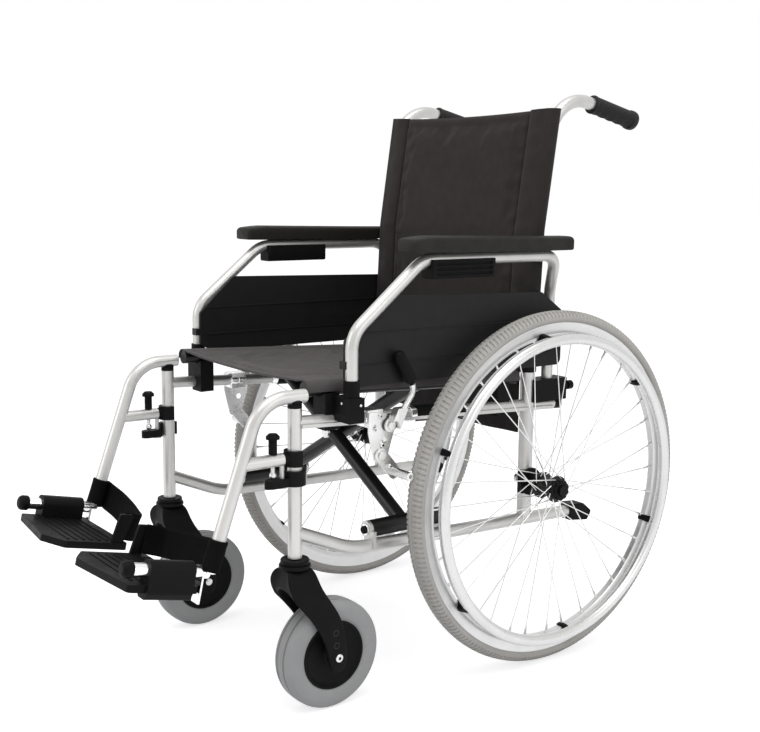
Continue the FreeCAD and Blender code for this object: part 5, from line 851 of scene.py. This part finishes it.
def make_back_sleeve(name, side):
    """One side of the back: the band from the seam to the cane, sewn round the cane as a sleeve."""
    rows = 81
    band = [(SEAM_X, 0.6), (176.0, -1.2), (184.0, -2.6), (192.0, -2.9), (200.0, -2.0), (206.0, -0.7)]
    wrap = 14.2
    turns = [math.radians(a) for a in range(0, 181, 12)]
    arc = [(POST_X + wrap * math.sin(a), -wrap * math.cos(a)) for a in turns]
    rear = [(207.0, 12.2), (201.0, 6.0), (197.0, -1.0), (190.0, -6.0), (182.0, -7.6), (SEAM_X, -7.4)]
    count = len(band + arc + rear)

    def seam_groove(x):
        return 2.0 * math.exp(-((x - SEAM_X) / 2.8) ** 2)

    points = []
    for z in np.linspace(BACK_LOW - 1.5, BACK_HIGH + 1.0, rows):
        on_back = min(max(z, BACK_LOW), BACK_HIGH)
        end = max(0.0, min(z - BACK_LOW, BACK_HIGH - z))
        pull = 0.7 * math.sin(z / 9.0) * math.exp(-end / 60.0)
        pull += 0.45 * math.sin(z / 6.3) + 0.3 * math.sin(z / 10.7)
        outer = []
        for x, d in band:
            blend = (x - SEAM_X) / (POST_X - SEAM_X)
            outer.append((x, -wrap + seam_groove(x) + d + pull * math.sin(math.pi * blend)))
        outer += arc + rear
        inner = []
        for k, (x, d) in enumerate(outer):
            before, after = outer[k - 1], outer[(k + 1) % count]
            across = np.array([before[1] - after[1], after[0] - before[0]])
            across /= max(np.linalg.norm(across), 1e-6)
            ply = 2.4 if x > 206.5 else 1.1
            inner.append((x + across[0] * ply, d + across[1] * ply))
        share = (on_back - BACK_LOW) / (BACK_HIGH - BACK_LOW)
        points += [place(x * side, cane_y(on_back) + d, dipped(x, z, share)) for x, d in outer + inner]
    row = count * 2
    last = (rows - 1) * row
    faces = []
    for a in range(0, last, row):
        b = a + row
        for k in range(count):
            j = (k + 1) % count
            faces.append((a + k, a + j, b + j, b + k))
            faces.append((a + count + j, a + count + k, b + count + k, b + count + j))
    for k in range(count):
        j = (k + 1) % count
        faces.append((k, count + k, count + j, j))
        faces.append((last + j, last + count + j, last + count + k, last + k))
    sleeve = solid(f"back_sleeve_{name}", points, facing(faces, side), BACK_CLOTH, f"{name}_frame", 70)
    heights = np.linspace(BACK_LOW + 6, BACK_HIGH - 6, 60)
    x = SEAM_X + 4.5
    ahead, behind = Vector((0, -1, 0)), Vector((0.5 * side, 1, 0)).normalized()
    lines = [[(place(x * side, cane_y(z) - wrap + seam_groove(x), z), ahead) for z in heights],
             [(place(194.0 * side, cane_y(z) - 3.2, z), behind) for z in heights]]
    stitches(f"back_sleeve_{name}_stitching", lines, f"{name}_frame")


def make_back():
    pad, thread = make_back_pad()
    for thing in (pad, thread):
        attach(thing, "left_frame")
        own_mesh(thing)
    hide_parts("back_canvas")
    for name, side in SIDES:
        make_back_sleeve(name, side)

    # The flap that hangs from the back's lower hem.
    across, down, top, hem = 61, 27, 547.0, 386.0
    xs = np.linspace(-194.0, 194.0, across)
    points = []
    for t in np.arange(down) / (down - 1):
        for rear in (0, 1):
            for x in (xs[::-1] if rear else xs):
                ripple = 1.7 * t * math.sin(x / 31.0 + 0.6) + 0.8 * t * math.sin(x / 13.0 + 2.0)
                thick = 2.2 + (0.9 if t > 0.93 or abs(x) > 186 else 0.0)
                y = -2.5 + ripple + (thick / 2 if rear else -thick / 2)
                points.append(place(x, y, top + (hem - top) * t - 1.2 * math.sin(x / 47.0) * t))
    faces = [f[::-1] for f in sheet_faces(down, across * 2)]
    flap = solid("back_flap", points, faces, BACK_CLOTH, "left_frame", 70)
    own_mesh(flap)


def make_strap(name, side):
    """The heel strap: a webbing band that bows behind the heel, and its loop round the hanger's shin."""
    body = f"{name}_footrest"
    lean, tilt = math.radians(19.5), math.radians(7.5)
    low_z, half_height = 258.0, 23.5
    origin_y = -623.7 + (low_z - 256.0) * math.tan(lean)

    def local(x, y, h, tilted=True):
        """A point from the strap's own axes: x across the chair, y square to the shin and h up it."""
        if tilted:
            u, v = x - POST_X, h - half_height
            x = POST_X + u * math.cos(tilt) - v * math.sin(tilt)
            h = half_height + u * math.sin(tilt) + v * math.cos(tilt)
        return place(x * side, origin_y + y * math.cos(lean) + h * math.sin(lean),
                     low_z - y * math.sin(lean) + h * math.cos(lean))

    section = [(0.4, 1.1), (1.6, 1.55), (5.0, 1.6), (6.4, 1.25), (23.5, 1.15), (40.6, 1.25), (42.0, 1.6),
               (45.4, 1.55), (46.6, 1.1)]
    outline = [(-w, h) for h, w in section] + [(w, h) for h, w in reversed(section)]

    def outward(path, i, closed=False):
        """The direction square to a path at one of its points."""
        before = path[i - 1] if closed or i else path[i]
        after = path[(i + 1) % len(path)] if closed or i < len(path) - 1 else path[i]
        ahead = (after - before) / np.linalg.norm(after - before)
        return np.array([ahead[1], -ahead[0]])

    def ribbon(label, path, closed):
        points = []
        n, m = len(path), len(outline)
        for i, p in enumerate(path):
            out = outward(path, i, closed)
            wave = 0.0 if closed else 0.9 * math.sin(i / n * 9.0)
            for w, h in outline:
                x, y = p + out * (w + wave * math.sin(math.pi * h / 47.0))
                points.append(local(x, y, h, not closed))
        faces = ring_faces(n, m) if closed else tube_faces(n, m)
        return solid(label, points, facing(faces, -side), STRAP_CLOTH, body, 45)

    turns = np.linspace(0, math.tau, 33)[:-1]
    ring = [np.array((POST_X + 12.6 * math.cos(a), 12.6 * math.sin(a))) for a in turns]
    loop = ribbon(f"{name}_strap_loop", ring, True)
    path = smooth_curve([(216.0, 14.2), (207.0, 15.2), (197.0, 15.4), (160.0, 18.5), (110.0, 15.6),
                         (66.0, 8.6), (47.0, 5.0), (42.4, 0.6), (41.7, -10.0), (41.7, -24.6)])
    band = ribbon(f"{name}_strap_band", path, False)
    lines = []
    for h in (6.0, 41.0):
        line = []
        for i in range(2, len(path) - 2):
            near, far = (local(*(path[i] + outward(path, i) * d), h) for d in (1.5, 2.5))
            line.append((near, (far - near).normalized()))
        lines.append(line)
    thread = stitches(f"{name}_strap_stitching", lines, body, pitch=4.0, length=2.8, radius=0.4)
    for thing in (band, thread):
        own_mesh(thing)
    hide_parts(f"{name}_heel_strap")


# The CAD nodes' materials

def paint(node, default, test=None, other=None):
    """Gives a CAD node its material, and another one to the faces whose middle passes a test. The test gets
    (x from the chair's middle, y from the rear axle, z) in millimetres, with x as on the left side."""
    mesh = NODES[node].data
    mesh.materials.clear()
    mesh.materials.append(default)
    if test:
        mesh.materials.append(other)
    middles = np.zeros(len(mesh.polygons) * 3, np.float32)
    mesh.polygons.foreach_get("center", middles)
    index = [int(bool(test) and bool(test(abs(x), y - AXLE_Y, z))) for x, y, z in middles.reshape(-1, 3) / MM]
    mesh.polygons.foreach_set("material_index", np.array(index, np.int32))
    mesh.update()


def paint_nodes():
    one_material = {
        "side_frame": SILVER, "frame_fittings": BLACK, "back_cane": SILVER, "armrest_tube": SILVER,
        "armrest_sockets": BLACK, "side_panel": PANEL, "brake_bracket": STEEL, "brake_arm": STEEL,
        "spokes": STEEL, "hanger_tube": SILVER, "hanger_saddle": BLACK, "hanger_latch": BLACK,
        "foot_axle": CHROME, "footplate": BLACK,
    }
    two_materials = {
        "socket_knob": (BLACK, lambda x, y, z: math.hypot(x - 215, z - 466) < 3.4, STEEL),
        "axle_mount": (BLACK, lambda x, y, z: math.hypot(y, z - 305) < 9.3 and x < 303, STEEL),
        "brake_lever": (STEEL, lambda x, y, z: (z - 499) * 0.855 - (y + 275) * 0.519 > 9.4 and z > 500,
                        BLACK),
        "hanger_knob": (BLACK, lambda x, y, z: z < 400, STEEL),
    }
    for name, _ in SIDES:
        for part, material in one_material.items():
            paint(f"{name}_{part}", material)
        for part, rule in two_materials.items():
            paint(f"{name}_{part}", *rule)
    paint("brace_left", BLACK_PAINT, lambda x, y, z: x < 11 and abs(y + 250) > 26.9, STEEL)
    paint("brace_right", BLACK_PAINT)


# Small fittings

def screw(name, at, out, radius, tall, material, body, socket=True):
    """A low domed screw head standing on a face, with a black disc on its top as painted shade for its socket.
    """
    out = Vector(out).normalized()
    start = at - out * 2 * MM
    dome = [(0, radius), (2 + tall * 0.45, radius), (2 + tall * 0.8, radius * 0.86), (2 + tall, radius * 0.55)]
    bar(name, start, at + out * tall * MM, dome, material, body, 20, 40)
    # Painted shade: the socket is not cut, and a black disc just over the head's top stands in for its dark
    # inside.
    if socket:
        hole = [(0, radius * 0.5), (tall, radius * 0.5), (tall + 0.2, radius * 0.46)]
        bar(f"{name}_socket", at, at + out, hole, BLACK, body, 6, 30)


def make_fittings(name, side):
    body, arm = f"{name}_frame", f"{name}_brake_arm"
    outward = (side, 0, 0)

    def point(x, y, z):
        return place(x * side, y, z)

    def on_tube(y):
        """A point of the frame's upper tube, on its middle line."""
        return point(POST_X, y, 461.5 + (436.5 - 461.5) * (y - POST_Y) / (-POST_Y + 60.0))

    def turned(label, start, end, material, steps, profile, rides=body, sharp=30):
        bar(f"{name}_{label}", start, end, profile, material, rides, steps, sharp)

    turned("tube_sleeve", on_tube(-250), on_tube(-150), BLACK, 40,
           [(0, 10.1), (0, 12.4), (0.8, 13.2), (99.2, 13.2), (100.2, 12.4), (100.2, 10.1)])
    turned("tube_ring", on_tube(-264), on_tube(-250), CHROME, 40,
           [(0, 10.1), (0, 12.6), (0.6, 13.2), (10.4, 13.2), (11.0, 12.6), (11.0, 10.1)])
    turned("ear_washer", point(205, -339, 270), point(205, -341, 270), CHROME, 24,
           [(0, 9.2), (1.4, 9.2), (1.8, 8.6)])
    screw(f"{name}_ear_bolt", point(205, -340.8, 270), (0, -1, 0), 6.6, 5.6, BLACK, body, False)
    turned("brake_clamp_band", on_tube(-355), on_tube(-324), CHROME, 40,
           [(0, 10.1), (0, 13.2), (1.2, 14.2), (14.0, 14.2), (14.8, 13.4), (16.0, 13.4), (16.8, 14.2),
            (29.8, 14.2), (31.0, 13.2), (31.0, 10.1)])
    for i, (y, z, radius) in enumerate(((-328.6, 412.0, 4.4), (-333.0, 459.0, 3.2), (-343.0, 438.0, 2.8))):
        screw(f"{name}_brake_bolt_{i}", point(231.9, y, z), outward, radius, 3.4, STEEL, body)
    screw(f"{name}_brake_arm_bolt", point(235.3, -315.0, 377.0), outward, 3.6, 3.0, STEEL, arm)
    for i, (at, out) in enumerate((((241, -412, 488), (0, -1, 0)), ((262, -391, 486), outward))):
        screw(f"{name}_socket_screw_{i}", point(*at), out, 2.2, 1.1, STEEL, body,
              False)
    turned("hanger_collar", point(POST_X, POST_Y, 490.5), point(POST_X, POST_Y, 495.5), BLACK, 40,
           [(0, 7.4), (0, 10.6), (0.8, 11.4), (3.6, 11.2), (5.0, 10.4)],
           f"{name}_hanger", 40)


# Floor and light

def make_stage():
    half = 30
    mesh = bpy.data.meshes.new("floor")
    corners = [(-half, -half, 0), (half, -half, 0), (half, half, 0), (-half, half, 0)]
    mesh.from_pydata(corners, [], [(0, 1, 2, 3)])
    floor = bpy.data.objects.new("floor", mesh)
    floor.location.z = -0.0004
    bpy.context.scene.collection.objects.link(floor)
    material = bpy.data.materials.new("floor_paper")
    paper = Tree(material, "OutputMaterial")
    diffuse = paper.new("BsdfDiffuse", Color=(0.70, 0.70, 0.72, 1))
    glow = paper.new("Emission", Strength=paper.math("MULTIPLY", paper.seen(), 0.63))
    paper.put(paper.surface, paper.join(paper.new("AddShader"), diffuse.outputs[0], glow.outputs[0]))
    mesh.materials.append(material)

    world = bpy.data.worlds.new("studio")
    bpy.context.scene.world = world
    sky = Tree(world, "OutputWorld")
    light = sky.new("Background", Color=(0.62, 0.62, 0.625, 1))
    white = sky.new("Background", Color=(1, 1, 1, 1))
    sky.put(sky.surface, sky.join(sky.new("MixShader", Fac=sky.seen()), light.outputs[0], white.outputs[0]))

    lamps = (  # name, place, the point that it faces, size and watts
        ("top_softbox", (0.6, -0.4, 3.0), (0, 0, 0.4), (2.4, 2.4), 42),
        ("front_softbox", (-0.9, -3.2, 1.9), (0, 0, 0.5), (1.6, 2.0), 24),
        ("side_softbox", (3.4, 0.9, 1.6), (0, 0, 0.5), (1.4, 2.0), 16),
    )
    for name, at, aim, size, watts in lamps:
        data = bpy.data.lights.new(name, "AREA")
        data.shape = "RECTANGLE"
        data.size, data.size_y = size
        data.energy = watts
        lamp = bpy.data.objects.new(name, data)
        bpy.context.scene.collection.objects.link(lamp)
        lamp.location = at
        lamp.rotation_euler = (Vector(aim) - Vector(at)).to_track_quat("-Z", "Y").to_euler()
    bpy.context.scene.view_settings.view_transform = "Standard"


for side_name, side_sign in SIDES:
    for make in (make_wheel, make_caster, make_fork, make_grip, make_arm_pad, make_strap, make_fittings):
        make(side_name, side_sign)
make_seat()
make_back()
paint_nodes()
make_stage()
